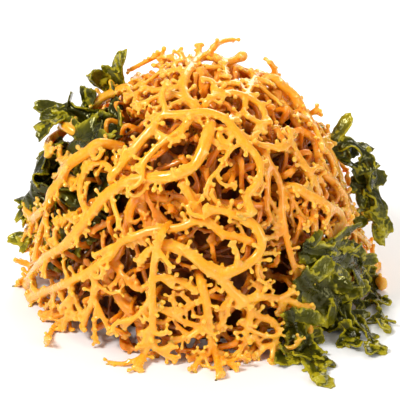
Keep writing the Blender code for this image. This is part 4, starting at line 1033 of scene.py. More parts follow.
def add_knobs(tangle):
    """Short knobs at uneven steps along every gold strand, turned out of the heap and to its sides."""
    random = np.random.RandomState(KNOB_SEED)
    for limb in list(tangle.limbs):
        if limb["kind"] != "strand" or limb["frond"] == HEART_NAME:
            continue
        spine = limb["spine"]
        order = random.uniform(*KNOB_STARTS)
        while order < len(spine) - 1:
            here = int(order)
            place = tangle.points[spine[here]]
            along = unit(tangle.points[spine[here + 1]] - place)
            aside = np.cross(outward(place), along)
            heading = unit(outward(place) * random.uniform(*KNOB_RISES) + aside * random.choice((-1, 1)))
            reach = limb["radii"][here] + random.uniform(*KNOB_REACHES)
            base = knob_base(place, tangle.points[spine[here + 1]])
            places = [place, base + reach * heading + KNOB_LEAN * along]
            root = (spine[here], spine[max(0, here - 1):here + 2])
            tangle.add_strand(limb["frond"], places, [KNOB_NECK, KNOB_RADIUS], 0, root, KNOB_SIDES)
            tangle.limbs[-1]["onward"] = spine[here + 1]
            order += KNOB_SPACING / RING_STEP * random.uniform(*KNOB_UNEVEN)


class Skin:
    """Closed tubes and plates gathered up, to be fused into one skin, and the finish along their middles, the
    painted glow of their thin tips and edges.
    """

    def __init__(self):
        self.vertices = []
        self.faces = []
        self.count = 0
        self.finish_places = []
        self.finish_values = []

    def add(self, vertices, faces):
        self.vertices.append(vertices)
        self.faces += [tuple(self.count + corner for corner in face) for face in faces]
        self.count += len(vertices)

    def mark(self, places, values):
        self.finish_places.append(np.asarray(places))
        self.finish_values.append(np.broadcast_to(values, len(places)))

    def add_tube(self, sketch, flat=None, flatness=1.0):
        """A closed tube along a sketch: round, or flattened along a direction."""
        places, radii, sides = sketch.places, sketch.radii, sketch.sides
        ahead = unit(np.gradient(places, axis=0))
        angles = 2 * math.pi * np.arange(sides) / sides
        side = outward(places[0]) if flat is None else flat
        if abs(side @ ahead[0]) > NEARLY_ALONG:
            side = ODD_DIRECTION
        rings = []
        for place, radius, forward in zip(places, radii, ahead):
            side = unit(side - forward * (side @ forward))
            other = np.cross(forward, side)
            offset = np.outer(np.cos(angles), side) * flatness + np.outer(np.sin(angles), other)
            rings.append(place + radius * offset)
        vertices = np.vstack(rings + [places[:1], places[-1:] + CAP_REACH * radii[-1] * ahead[-1]])
        faces = []
        for ring in range(len(places) - 1):
            for k in range(sides):
                low, following = ring * sides + k, ring * sides + (k + 1) % sides
                faces.append((low, following, following + sides, low + sides))
        start, tip, last = len(vertices) - 2, len(vertices) - 1, (len(places) - 1) * sides
        for k in range(sides):
            faces.append((start, (k + 1) % sides, k))
            faces.append((tip, last + k, last + (k + 1) % sides))
        self.add(vertices, faces)
        self.mark(places, sketch.pale)

    def add_plate(self, grid, halves):
        """A closed plate on both sides of a fine grid of places, as thick as twice the halves."""
        rows, columns = grid.shape[:2]
        normal = unit(np.cross(np.gradient(grid, axis=0), np.gradient(grid, axis=1)))
        offset = halves[:, :, None] * normal
        vertices = np.vstack(((grid + offset).reshape(-1, 3), (grid - offset).reshape(-1, 3)))
        under = rows * columns
        faces = []
        for row in range(rows - 1):
            for column in range(columns - 1):
                a = row * columns + column
                b, c, d = a + 1, a + columns + 1, a + columns
                faces += [(a, d, c, b), (under + a, under + b, under + c, under + d)]
        rim = list(range(columns))
        rim += [row * columns + columns - 1 for row in range(1, rows)]
        rim += [(rows - 1) * columns + column for column in range(columns - 2, -1, -1)]
        rim += [row * columns for row in range(rows - 2, 0, -1)]
        for a, b in zip(rim, rim[1:] + rim[:1]):
            faces.append((a, b, under + b, under + a))
        self.add(vertices, faces)


def drop_scraps(mesh):
    """Keep only the largest connected piece of a mesh."""
    bm = bmesh.new()
    bm.from_mesh(mesh)
    left = set(bm.verts)
    pieces = []
    while left:
        piece, edge = [], [left.pop()]
        while edge:
            vertex = edge.pop()
            piece.append(vertex)
            for link in vertex.link_edges:
                other = link.other_vert(vertex)
                if other in left:
                    left.remove(other)
                    edge.append(other)
        pieces.append(piece)
    pieces.sort(key=len)
    for piece in pieces[:-1]:
        bmesh.ops.delete(bm, geom=piece, context="VERTS")
    bm.to_mesh(mesh)
    bm.free()


def make_object(name, vertices, faces):
    """An object of a mesh given in millimetres."""
    mesh = bpy.data.meshes.new(name)
    mesh.from_pydata((MM * np.vstack(vertices)).tolist(), [], faces)
    item = bpy.data.objects.new(name, mesh)
    bpy.context.scene.collection.objects.link(item)
    return item


def fuse(name, skin, settings, whole=True):
    """One smooth skin round everything gathered in a Skin, with its finish, the painted glow of thin tips and
    edges, in the attribute "tone".
    """
    item = make_object(name, skin.vertices, skin.faces)
    remesh = item.modifiers.new("fuse", "REMESH")
    remesh.mode = "VOXEL"
    remesh.voxel_size = settings.voxel
    smooth = item.modifiers.new("soften", "SMOOTH")
    smooth.factor = SOFTEN_FACTOR
    smooth.iterations = SOFTEN_ROUNDS
    fewer = item.modifiers.new("fewer faces", "DECIMATE")
    fewer.ratio = settings.share
    shapes = bpy.context.evaluated_depsgraph_get()
    mesh = bpy.data.meshes.new_from_object(item.evaluated_get(shapes))
    item.modifiers.clear()
    rough = item.data
    item.data = mesh
    bpy.data.meshes.remove(rough)
    mesh.name = name
    if whole:
        drop_scraps(mesh)
    places = np.empty(3 * len(mesh.vertices), np.float32)
    mesh.vertices.foreach_get("co", places)
    places = places.reshape(-1, 3)
    places[:, 2] = np.maximum(places[:, 2], 0.0)
    mesh.vertices.foreach_set("co", places.ravel())
    marks = np.vstack(skin.finish_places)
    values = np.concatenate(skin.finish_values)
    tree = kdtree.KDTree(len(marks))
    for number, mark in enumerate(marks):
        tree.insert(mark, number)
    tree.balance()
    tones = [values[tree.find(place)[1]] for place in places / MM]
    tone = mesh.attributes.new("tone", "FLOAT", "POINT")
    tone.data.foreach_set("value", np.array(tones, np.float32))
    mesh.shade_smooth()
    mesh.update()
    return item


def resample(values, count):
    """A smooth curve through rows of values, at a number of even steps of its parameter."""
    ends = np.concatenate((2 * values[:1] - values[1:2], values, 2 * values[-1:] - values[-2:-1]))
    stops = np.linspace(0, len(values) - 1, count)
    start = np.minimum(stops.astype(int), len(values) - 2)
    t = (stops - start).reshape(-1, *[1] * (values.ndim - 1))
    a, b, c, d = (ends[start + k] for k in range(4))
    bend = (2 * a - 5 * b + 4 * c - d) * t ** 2
    twist = (3 * b - a - 3 * c + d) * t ** 3
    return 0.5 * (2 * b + (c - a) * t + bend + twist)


def sketch_strand(places, radii, random, sides, flare):
    """A strand's fine middle line and radii, with a flared root and a round, swollen tip."""
    fine = smooth_curve(np.column_stack((places, radii)), SKIN_STEP)
    places, radii = fine[:, :3], fine[:, 3].copy()
    travelled = SKIN_STEP * np.arange(len(places))
    to_go = travelled[-1] - travelled
    for strength, length in SWELLS:
        radii *= 1.0 + strength * np.sin(travelled / length + random.uniform(*WHOLE_TURN))
    if flare:
        radii *= 1.0 + FLARE * np.exp(-travelled / FLARE_LENGTH)
    radii *= 1.0 + (TIP_SWELL - 1.0) * np.exp(-(to_go / TIP_LENGTH) ** 2)
    ahead = unit(places[-1] - places[-2])
    places = np.vstack((places, places[-1] + radii[-1] * np.outer(np.sin(TIP_ANGLES), ahead)))
    radii = np.concatenate((radii, radii[-1] * np.cos(TIP_ANGLES)))
    to_go = np.concatenate((to_go, np.zeros(len(TIP_ANGLES))))
    # The tip is painted pale, a painted glow of light through it that fades back along the strand
    return Sketch(places, radii, np.exp(-to_go / TIP_GLOW_LENGTH), sides)


def sketch_knob(place, heading, reach, head):
    """A short stalk from a strand's middle to a round head."""
    shares, sizes = np.array(KNOB_PROFILE).T
    places = place + reach * np.outer(shares, heading)
    # The head is painted paler toward its end, a painted glow of light through it
    return Sketch(places, head * sizes, shares ** 2, KNOB_SKIN_SIDES)


class Crowd:
    """Every strand and blade that is already in place, as balls, to keep new twigs clear of them."""

    def __init__(self, tangle):
        self.places = [sum(w * tangle.points[c] for c, w in zip(sample.corners, sample.weights))
                       for sample in tangle.samples]
        self.radii = [sample.radius for sample in tangle.samples]
        self.owners = [sample.frond for sample in tangle.samples]
        self.index()

    def index(self):
        self.tree = kdtree.KDTree(len(self.places))
        for number, place in enumerate(self.places):
            self.tree.insert(place, number)
        self.tree.balance()

    def add(self, places, radii, owner):
        self.places += list(places)
        self.radii += list(radii)
        self.owners += [owner] * len(places)

    def overlap(self, place, radius, owner):
        """The deepest that a ball at a place sinks into another frond's balls."""
        deepest = 0.0
        for _, other, distance in self.tree.find_range(place, radius + THICKEST):
            if self.owners[other] != owner:
                deepest = max(deepest, radius + self.radii[other] - distance)
        return deepest


def grow_twig(random, crowd, frond, start, heading, length, radius):
    """The middle line of a new twig that wanders over the dome, cut short where it meets another frond."""
    places = [np.array(start, float)]
    swing = random.normal(0.0, TWIG_TURN)
    while len(places) * TWIG_STRIDE < length:
        here = places[-1]
        swing += random.normal(0.0, TWIG_WANDER)
        normal = outward(here)
        heading = unit(heading + swing * np.cross(normal, heading) - TWIG_CLING * normal * (heading @ normal))
        there = here + TWIG_STRIDE * heading
        there[2] = max(there[2], radius)
        if len(places) > 1 and crowd.overlap(there, radius, frond) > TWIG_OVERLAP:
            break
        places.append(there)
    return np.array(places)


def add_fork(skin, random, place, ahead, radius):
    """Two or three short prongs with round heads at the end of a twig."""
    normal = outward(place)
    aside = unit(np.cross(ahead, normal) + FORK_TILT * normal)
    for lean in TWO_PRONGS if random.uniform() < FORKS_OF_TWO else THREE_PRONGS:
        sideways = lean * FORK_SPREAD * random.uniform(*FORK_UNEVEN) * aside
        heading = unit(ahead + sideways + random.uniform(*FORK_RISES) * normal)
        length = random.uniform(*FORK_LENGTHS)
        head = radius * random.uniform(*FORK_HEADS)
        skin.add_tube(sketch_knob(place - FORK_ROOT * radius * ahead, heading, length, head))


def add_heads(skin, random, sketch, spacing, reaches, heads):
    """Round heads on stalks at uneven steps along a strand, to its sides and out of the heap."""
    places, radii = sketch.places, sketch.radii
    travelled = np.concatenate(((0.0,), np.cumsum(np.linalg.norm(np.diff(places, axis=0), axis=1))))
    ahead = unit(np.gradient(places, axis=0))
    at = random.uniform(*HEAD_STARTS) * spacing
    while at < travelled[-1] - HEAD_END:
        here = int(np.searchsorted(travelled, at))
        normal = outward(places[here])
        sideways = random.choice((-1, 1)) * unit(np.cross(normal, ahead[here]))
        rise = random.uniform(*HEAD_RISES) * normal
        heading = unit(sideways + rise + random.uniform(*HEAD_LEANS) * ahead[here])
        reach = radii[here] + random.uniform(*reaches)
        skin.add_tube(sketch_knob(places[here], heading, reach, random.uniform(*heads)))
        at += spacing * random.uniform(*HEAD_UNEVEN)


def add_beads(skin, random, sketch, settings):
    """Small beads that stand close to a gold strand."""
    add_heads(skin, random, sketch, MM_PER_M * settings.bead_spacing, BEAD_REACHES, BEAD_HEADS)


def sink_end(places):
    """A strand's places with one more before the first, back and down into the heap."""
    along = unit(places[1] - places[0])
    sunk = places[0] - SINK_BACK * along - SINK_DOWN * outward(places[0])
    return np.vstack((sunk, places))


def add_twigs(skin, random, crowd, frond, places, settings):
    """New twigs to the left and right in turn along a strand's places."""
    at = random.uniform(*TWIG_STARTS)
    side = random.choice((-1, 1))
    while at < len(places) - 1:
        here = int(at)
        start = places[here] + (at - here) * (places[here + 1] - places[here])
        along = unit(places[here + 1] - places[here])
        normal = outward(start)
        rise = random.uniform(*(TWIG_RISES if random.uniform() < TWIGS_OUT else TWIG_DIVES))
        heading = unit(TWIG_AHEAD * along + side * np.cross(normal, along) + rise * normal)
        radius = random.uniform(*TWIG_RADII)
        length = random.uniform(*TWIG_LENGTHS)
        twig = grow_twig(random, crowd, frond, start, heading, length, radius)
        if len(twig) >= TWIG_PLACES:
            thin = np.linspace(radius, TWIG_TAPER * radius, len(twig))
            sketch = sketch_strand(twig, thin, random, TWIG_SKIN_SIDES, True)
            skin.add_tube(sketch)
            add_fork(skin, random, twig[-1], unit(twig[-1] - twig[-2]), thin[-1])
            add_beads(skin, random, sketch, settings)
            crowd.add(twig, thin, frond)
        side = -side
        at += MM_PER_M * settings.twig_spacing / RING_STEP * random.uniform(*TWIG_UNEVEN)


def gold_skin(tangle, crowd, frond, settings, random):
    """The tubes of one gold frond: its own strands and knobs, with twigs, forked ends, stubs and beads."""
    skin = Skin()
    for number, limb in enumerate(tangle.limbs_of(frond)):
        places = tangle.points[limb["spine"]]
        radii = np.array(limb["radii"])
        if "onward" in limb:
            base = knob_base(places[0], tangle.points[limb["onward"]])
            stalk = places[1] - base
            reach = np.linalg.norm(stalk) + KNOB_HEAD
            skin.add_tube(sketch_knob(base, unit(stalk), reach, KNOB_HEAD))
            continue
        if number == 0:
            sketch = sketch_strand(sink_end(places), np.append(radii[0], radii), random, SKIN_SIDES, False)
        else:
            sketch = sketch_strand(places, radii, random, SKIN_SIDES, True)
        skin.add_tube(sketch, flatness=random.uniform(*STRAND_FLATNESS))
        add_fork(skin, random, places[-1], unit(places[-1] - places[-2]), radii[-1])
        add_beads(skin, random, sketch, settings)
        add_heads(skin, random, sketch, MM_PER_M * settings.stub_spacing, STUB_REACHES, STUB_HEADS)
        add_twigs(skin, random, crowd, frond, places, settings)
    return skin


def waved_plate(coarse, length, ruffle_height, random):
    """A fine, waved grid of places over the coarse one of a blade, and its normals before the last waves.

    Each place's share of the way across from the middle to an edge and its way down the blade come along.
    """
    width = np.linalg.norm(coarse[:, -1] - coarse[:, 0], axis=1).max()
    rows = max(PLATE_ROWS, round(length / PLATE_STEP))
    columns = max(PLATE_COLUMNS, round(width / PLATE_STEP))
    grid = resample(coarse, rows)
    grid = resample(grid.transpose(1, 0, 2), columns).transpose(1, 0, 2)
    middle = grid.mean(axis=1, keepdims=True)
    over = np.linspace(-1.0, 1.0, columns)[None, :]
    down = np.linspace(0.0, length, rows)[:, None]
    right = over > 0
    lobes = sum(share * np.sin(2 * math.pi * down / size + random.uniform(*PHASES) + PLATE_LOBE_SHIFT * right)
                for share, size in PLATE_LOBES)
    grid = middle + (grid - middle) * (1.0 + lobes * np.abs(over))[:, :, None]
    sway = SCALLOP_SWAY * np.sin(down / SCALLOP_SWAY_LENGTH + random.uniform(*PHASES)) + SCALLOP_SHIFT * right
    arcs = np.abs(np.sin(math.pi * down / SCALLOP_LENGTH + sway)) - 0.5
    bumps = SCALLOP * arcs * np.abs(over) ** SCALLOP_FADE
    grid = grid + bumps[:, :, None] * unit(grid - middle)
    normal = unit(np.cross(np.gradient(grid, axis=0), np.gradient(grid, axis=1)))
    shift = RUFFLE_SHIFT * np.sign(over)
    ruffle = np.sin(2 * math.pi * down / RUFFLE_LENGTH + shift + random.uniform(*PHASES))
    fold = PLATE_FOLD * np.cos(math.pi * over * PLATE_FOLDS + FOLD_SWAY * np.sin(down / FOLD_SWAY_LENGTH))
    rise = ruffle_height * ruffle * np.abs(over) ** RUFFLE_FADE + fold * (1 - np.abs(over))
    return grid + rise[:, :, None] * normal, normal, over, down


def green_skin(tangle, frond, settings, random):
    """The plates of one green frond, waved and lobed, with small round fingers along their edges."""
    skin = Skin()
    for limb in tangle.limbs_of(frond):
        coarse = np.array([[tangle.points[corner] for corner in row] for row in limb["rows"]])
        length = sum(np.linalg.norm(coarse[k + 1] - coarse[k], axis=1).mean() for k in range(len(coarse) - 1))
        grid, normal, over, down = waved_plate(coarse, length, settings.ruffle * MM_PER_M, random)
        crown = PLATE_EDGE + (PLATE_MIDDLE - PLATE_EDGE) * (1 - over ** 2)
        skin.add_plate(grid, np.broadcast_to(crown, grid.shape[:2]))
        # The edges and tip are marked for a painted glow of light through the thin blade
        to_tip = np.minimum(1.0, (length - down) / PLATE_GLOW_TIP)
        edge = np.maximum(np.abs(over) ** EDGE_GLOW_FADE, 1.0 - to_tip)
        skin.mark(grid.reshape(-1, 3), edge.ravel())
        add_lobes(skin, random, grid, normal, length)
        add_fingers(skin, random, grid, normal, length)
    return skin


def lobe_roots(random, grid, length):
    """Where lobes stand on a plate, by row and column, which way each points and how far it leans ahead."""
    rows, columns = grid.shape[:2]
    roots = []
    for column, inner in ((0, 1), (columns - 1, columns - 2)):
        at = random.uniform(*LOBE_STARTS)
        while at < length - LOBE_END:
            row = min(rows - 2, int(at / length * (rows - 1)))
            aside = unit(grid[row, column] - grid[row, inner])
            roots.append((row, column, aside, random.uniform(*LOBE_LEANS)))
            at += random.uniform(*LOBE_SPACING)
    across = unit(grid[-2, -1] - grid[-2, 0])
    for share, lean in TIP_LOBES:
        aside = (lean + random.uniform(*TIP_LOBE_UNEVEN)) * across
        roots.append((rows - 2, round(share * (columns - 1)), aside, 1.0))
    return roots


def way_along(grid, row, column):
    """The direction down a grid at one of its places."""
    return unit(grid[min(row + 1, len(grid) - 1), column] - grid[max(row - 1, 0), column])


def add_lobes(skin, random, grid, normal, length):
    """Small round lobes that stand out from both edges of a plate and from its tip."""
    for row, column, aside, forward in lobe_roots(random, grid, length):
        place, facing = grid[row, column], normal[row, column]
        heading = unit(aside + forward * way_along(grid, row, column))
        reach = random.uniform(*LOBE_REACHES)
        half = reach * random.uniform(*LOBE_WIDTHS)
        side = unit(np.cross(facing, heading))
        over = np.linspace(-1.0, 1.0, max(LOBE_COLUMNS, round(2 * half / PLATE_STEP)))[None, :]
        share = np.linspace(0.0, 1.0, max(LOBE_ROWS, round(reach / PLATE_STEP)))[:, None]
        width = half * (LOBE_WAIST + (1.0 - LOBE_WAIST) * share)
        width = width * np.sqrt(1.0 - LOBE_NARROWING * share ** LOBE_BLUNTNESS)
        strength, waves = LOBE_UNEVEN
        width = width * (1.0 + strength * np.sin(waves * reach * share + random.uniform(*PHASES)))
        strength, waves = LOBE_WAVE
        wave = strength * np.sin(waves * over + random.uniform(*PHASES)) * share
        curl = random.uniform(*LOBE_CURLS) * reach * share ** 2
        strength, waves = LOBE_NOTCHES
        notches = strength * np.cos(waves * over + random.uniform(*PHASES)) * share
        forth = (reach + LOBE_ROOT) * share - LOBE_ROOT
        forth = forth + half * (LOBE_CROWN * (1 - over ** 2) + notches) * share
        lobe = (place + forth[:, :, None] * heading + (width * over)[:, :, None] * side
                + (wave + curl)[:, :, None] * facing)
        lobe[:, :, 2] = np.maximum(lobe[:, :, 2], PLATE_EDGE)
        skin.add_plate(lobe, np.full(lobe.shape[:2], PLATE_EDGE))
        # The lobe is painted paler toward its edges and tip, a painted glow of light through it
        edge = np.maximum(np.abs(over) ** 2, share ** 2)
        skin.mark(lobe.reshape(-1, 3), (LOBE_GLOW_TONES[0] + LOBE_GLOW_TONES[1] * edge).ravel())


def add_fingers(skin, random, grid, normal, length):
    """Flat fingers with round ends, out from both edges of a plate and from its tip."""
    rows, columns = grid.shape[:2]
    roots = []
    for column, inner in ((0, 1), (columns - 1, columns - 2)):
        at = random.uniform(*FINGER_STARTS)
        while at < length:
            row = min(rows - 2, int(at / length * (rows - 1)))
            roots.append((row, column, inner))
            at += random.uniform(*FINGER_SPACING)
    for share in TIP_FINGERS:
        roots.append((rows - 1, min(columns - 2, max(1, round(share * (columns - 1)))), None))
    for row, column, inner in roots:
        place = grid[row, column]
        along = way_along(grid, row, column)
        if inner is None:
            heading = unit(along + random.uniform(*TIP_FINGER_LEANS) * unit(grid[row, column + 1] - place))
        else:
            heading = unit(unit(place - grid[row, inner]) + random.uniform(*FINGER_LEANS) * along)
        reach = random.uniform(*(TIP_FINGER_REACHES if inner is None else FINGER_REACHES))
        size = random.uniform(*(TIP_FINGER_SIZES if inner is None else FINGER_SIZES))
        shares, sizes = np.array(KNOB_PROFILE).T
        curl = random.uniform(*FINGER_CURLS)
        places = place - size * heading + np.outer(shares * (reach + size), heading)
        places = places + np.outer(curl * reach * shares ** 2, normal[row, column])
        places[:, 2] = np.maximum(places[:, 2], PLATE_EDGE)
        radii = size * sizes * (FINGER_ROOT - (FINGER_ROOT - 1.0) * shares)
        # Fingers are painted fully pale, a painted glow of light through them
        sketch = Sketch(places, radii, np.ones(len(places)), KNOB_SKIN_SIDES)
        skin.add_tube(sketch, flat=normal[row, column], flatness=FINGER_FLATNESS)


def heart_core():
    """The lump behind the crowded strands, which carries painted shade for the dark holes between them,
    raised into two sets of winding ridges that cross.
    """
    rows, columns = CORE_ROWS, CORE_COLUMNS
    heights = np.linspace(0.0, math.pi / 2, rows)[:, None]
    turns = np.linspace(0.0, 2 * math.pi, columns, endpoint=False)[None, :]
    direction = np.stack((np.cos(heights) * np.cos(turns), np.cos(heights) * np.sin(turns),
                          np.sin(heights) + 0.0 * turns), axis=2)
    x, y, z = np.moveaxis(CORE_RIDGES * direction, 2, 0)
    leaning = np.sin(x + 0.7 * y + 1.3 * np.sin(1.1 * z + 0.4 * x))
    crossing = np.sin(0.8 * y - 1.1 * z + 1.2 * np.sin(0.9 * x + 1.0))
    ridge = np.maximum(0.0, 1.0 - CORE_STEEPNESS * np.minimum(np.abs(leaning), np.abs(crossing)))
    places = (CORE_SHARE + CORE_RIDGE * ridge)[:, :, None] * direction * CORE
    places = places[:-1].reshape(-1, 3)
    vertices = np.vstack((places, (0.0, 0.0, CORE_SHARE * CORE[2]), (0.0, 0.0, 0.0)))
    top, bottom = len(vertices) - 2, len(vertices) - 1
    faces = []
    for row in range(rows - 2):
        for column in range(columns):
            a, b = row * columns + column, row * columns + (column + 1) % columns
            faces.append((a, b, b + columns, a + columns))
    last = (rows - 2) * columns
    for column in range(columns):
        faces.append((last + column, last + (column + 1) % columns, top))
        faces.append(((column + 1) % columns, column, bottom))
    return vertices, faces


def add_heart_strand(skins, random, route, radii, sides):
    """One strand of the heart, with its forked end and beads, in the skin for its side of the heap."""
    sector = int((math.degrees(math.atan2(route[0, 1], route[0, 0])) % 360) * HEART_PIECES / 360)
    sketch = sketch_strand(sink_end(route), np.append(radii[0], radii), random, sides, False)
    skins[sector].add_tube(sketch, flatness=random.uniform(*HEART_FLATNESS))
    add_fork(skins[sector], random, route[-1], unit(route[-1] - route[-2]), radii[-1])
    add_heads(skins[sector], random, sketch, HEART_BEAD_SPACING, BEAD_REACHES, BEAD_HEADS)


def crowded_route(random, crowd, start, radius, lift):
    """The route of a crowded strand from a start, cut where it lands and bent clear of the outer fronds."""
    normal = outward(start)
    turn = random.uniform(*WHOLE_TURN)
    level_way = unit(np.cross(normal, NEARLY_UP))
    heading = math.cos(turn) * level_way + math.sin(turn) * np.cross(normal, level_way)
    heading = unit(heading - np.array((0.0, 0.0, HEART_FALL)))
    turns = wandering_turns(random, HEART_TURNS, HEART_WANDER)
    route = march(start, heading, random.uniform(*HEART_STRAND_LENGTHS), lift, turns, radius)
    landed = np.nonzero(route[:, 2] <= radius)[0]
    if len(landed):
        route = route[:max(landed[0], 1) + 1]
    for _ in range(HEART_BENDS):
        for order, place in enumerate(route):
            deep = crowd.overlap(place, radius, HEART_NAME)
            if deep > 0:
                route[order] = place - deep * outward(place)
        if len(route) > 2:
            route[1:-1] = 0.5 * route[1:-1] + 0.25 * (route[:-2] + route[2:])
    route[:, 2] = np.maximum(route[:, 2], radius)
    return route


def heart_strands(tangle, crowd, count, middle):
    """The heart's own loops and feet, and a count of crowded strands spread evenly among them."""
    random = np.random.RandomState(HEART_STRAND_SEED)
    skins = [Skin() for _ in range(HEART_PIECES)]
    for limb in tangle.limbs_of(HEART_NAME):
        radii = HEART_ROUND * np.array(limb["radii"])
        add_heart_strand(skins, random, tangle.points[limb["spine"]], radii, SKIN_SIDES)
    for number in range(count):
        level = (number + 0.5) / count
        height = math.degrees(math.asin(min(1.0, HEART_TOP_SHARE * level)))
        start = place_on_dome(GOLDEN_ANGLE * number, height, 0.0) - middle
        lift = random.choice(HEART_LIFTS)
        radius = random.uniform(*HEART_STRAND_RADII)
        route = crowded_route(random, crowd, start, radius, lift)
        radii = np.linspace(radius, HEART_STRAND_TAPER * radius, len(route))
        add_heart_strand(skins, random, route, radii, TWIG_SKIN_SIDES)
    return skins


def frond_names(tangle, colour):
    """The names of all fronds of a colour, in the order in which they were laid."""
    names = dict.fromkeys(limb["frond"] for limb in tangle.limbs)
    return [name for name in names if name.startswith(colour)]


class Finish:
    """A short way to wire up a material's nodes."""

    def __init__(self, name):
        self.material = bpy.data.materials.new(name)
        self.material.use_nodes = True
        self.tree = self.material.node_tree
        self.shader = self.tree.nodes["Principled BSDF"]
        self.place = self.node("ShaderNodeTexCoord").outputs["Object"]

    def node(self, kind, **settings):
        made = self.tree.nodes.new(kind)
        for name, value in settings.items():
            setattr(made, name, value)
        return made

    def feed(self, socket, value):
        if isinstance(value, bpy.types.NodeSocket):
            self.tree.links.new(value, socket)
        else:
            socket.default_value = value

    def math(self, operation, first, second):
        made = self.node("ShaderNodeMath", operation=operation)
        for socket, value in zip(made.inputs, (first, second)):
            self.feed(socket, value)
        return made.outputs[0]

    def noise(self, pattern):
        made = self.node("ShaderNodeTexNoise")
        self.feed(made.inputs["Vector"], self.place)
        for name, value in pattern._asdict().items():
            made.inputs[name.title()].default_value = value
        return made.outputs["Fac"]

    def spread(self, value, low, high, to_low=0.0, to_high=1.0):
        """A value's range mapped to another, and held at its ends."""
        made = self.node("ShaderNodeMapRange")
        for socket, number in zip(made.inputs, (value, low, high, to_low, to_high)):
            self.feed(socket, number)
        return made.outputs[0]

    def mix(self, share, first, second):
        made = self.node("ShaderNodeMix", data_type="RGBA")
        self.feed(made.inputs["Factor"], share)
        self.feed(made.inputs[6], first)
        self.feed(made.inputs[7], second)
        return made.outputs[2]

    def ramp(self, value, stops):
        made = self.node("ShaderNodeValToRGB")
        elements = made.color_ramp.elements
        while len(elements) < len(stops):
            elements.new(0.5)
        for element, (position, colour) in zip(elements, stops):
            element.position = position
            element.color = colour
        self.feed(made.inputs[0], value)
        return made.outputs[0]

    def depth_in_heap(self):
        """How far out a point lies, from 0 at the heap's middle to 1 on its dome."""
        scaled = self.node("ShaderNodeVectorMath", operation="MULTIPLY")
        self.feed(scaled.inputs[0], self.place)
        scaled.inputs[1].default_value = [1.0 / (MM * size) for size in HEAP]
        length = self.node("ShaderNodeVectorMath", operation="LENGTH")
        self.feed(length.inputs[0], scaled.outputs[0])
        return length.outputs["Value"]

    def tone(self):
        return self.node("ShaderNodeAttribute", attribute_name="tone").outputs["Fac"]

    def bumps(self, layers):
        """Bumps laid over one another, each a pattern, a strength and a height in metres."""
        normal = None
        for pattern, strength, distance in layers:
            made = self.node("ShaderNodeBump")
            made.inputs["Strength"].default_value = strength
            made.inputs["Distance"].default_value = distance
            self.feed(made.inputs["Height"], self.noise(pattern))
            if normal is not None:
                self.feed(made.inputs["Normal"], normal)
            normal = made.outputs[0]
        self.feed(self.shader.inputs["Normal"], normal)

    def surface(self, values):
        """Give the shader's inputs values or sockets by their names."""
        for name, value in values.items():
            self.feed(self.shader.inputs[name], value)

    def roughness(self, sheen, gloss, rougher):
        """Roughness that goes from a gloss to a rougher one with a pattern."""
        return self.spread(self.noise(sheen), *NEAR_MIDDLING, gloss, gloss + rougher)


def rgba(colour):
    return (*colour, 1.0)


def colour_stops(places, *colours):
    """Stops for a ramp, with each colour at its place."""
    return [(place, rgba(colour)) for place, colour in zip(places, colours)]


def wet_gold(name, settings, depths):
    """Wet gold jelly: bright gold outside, painted shade that turns it deep orange-brown inside the heap, and
    a painted glow of light that makes the tips pale.
    """
    finish = Finish(name)
    # Painted shade: the gold is painted darker the further inside the heap a point lies
    depth = finish.spread(finish.depth_in_heap(), *depths)
    mottle = finish.spread(finish.noise(GOLD_MOTTLE), *MIDDLING, *GOLD_MOTTLING)
    depth = finish.math("ADD", depth, mottle)
    stops = colour_stops(GOLD_SHADE_STOPS, settings.deep, settings.shaded, settings.bright)
    # Painted glow: tips and knobs are painted pale, more so the further out they are
    tip_glow = finish.math("MULTIPLY", finish.tone(), finish.spread(depth, *TIP_GLOW_DEPTHS, *TIP_GLOW_STRENGTHS))
    colour = finish.mix(tip_glow, finish.ramp(depth, stops), rgba(settings.pale))
    rough = finish.roughness(GOLD_SHEEN, settings.gloss, GOLD_ROUGHER)
    finish.surface({"Base Color": colour, "Roughness": rough, "Subsurface Scale": settings.glow})
    finish.surface(GOLD_SURFACE)
    finish.bumps(GOLD_BUMPS)
    return finish.material


def wet_green(settings):
    """Wet green blades: dark olive in their thick middles and deep in the heap, painted shade, and
    yellow-green along edges and fingers, a painted glow of light through the thin parts.
    """
    finish = Finish("wet green blade")
    edge = finish.math("POWER", finish.tone(), GREEN_EDGE_GLOW_POWER)
    mottle = finish.spread(finish.noise(GREEN_MOTTLE), *MIDDLING, *GREEN_MOTTLING)
    patches = finish.spread(finish.noise(GREEN_PATCH), *NEAR_MIDDLING, *GREEN_PATCHES)
    # Painted shade: the green is painted darker the further inside the heap
    depth = finish.spread(finish.depth_in_heap(), *GREEN_SHADE_DEPTHS, *GREEN_PAINTED_SHADE)
    share = finish.math("ADD", finish.math("ADD", finish.math("ADD", edge, mottle), patches), depth)
    stops = colour_stops(GREEN_STOPS, settings.dark, settings.olive, settings.edge)
    rough = finish.roughness(GREEN_SHEEN, settings.gloss, GREEN_ROUGHER)
    colour = finish.ramp(share, stops)
    finish.surface({"Base Color": colour, "Roughness": rough, "Subsurface Scale": settings.glow})
    finish.surface(GREEN_SURFACE)
    finish.bumps(GREEN_BUMPS)
    return finish.material


def painted_shade_core(settings):
    """Painted shade: the dark brown that stands for the shade inside the heap, where little light comes in.
    """
    finish = Finish("dark core")
    stops = colour_stops(CORE_SHADE_STOPS, settings.core_dark, settings.core_light)
    rough = finish.spread(finish.noise(CORE_SHEEN), *MIDDLING, *CORE_ROUGHNESS)
    finish.surface({"Base Color": finish.ramp(finish.noise(CORE_MOTTLE), stops), "Roughness": rough})
    finish.surface(CORE_SURFACE)
    finish.bumps(CORE_BUMPS)
    return finish.material


def dress(item, material, slot, *nodes):
    """Give a piece its finish, tie it to the body and hide the solids that it stands for."""
    item.data.materials.clear()
    item.data.materials.append(material)
    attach(item, BODY)
    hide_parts(*nodes)


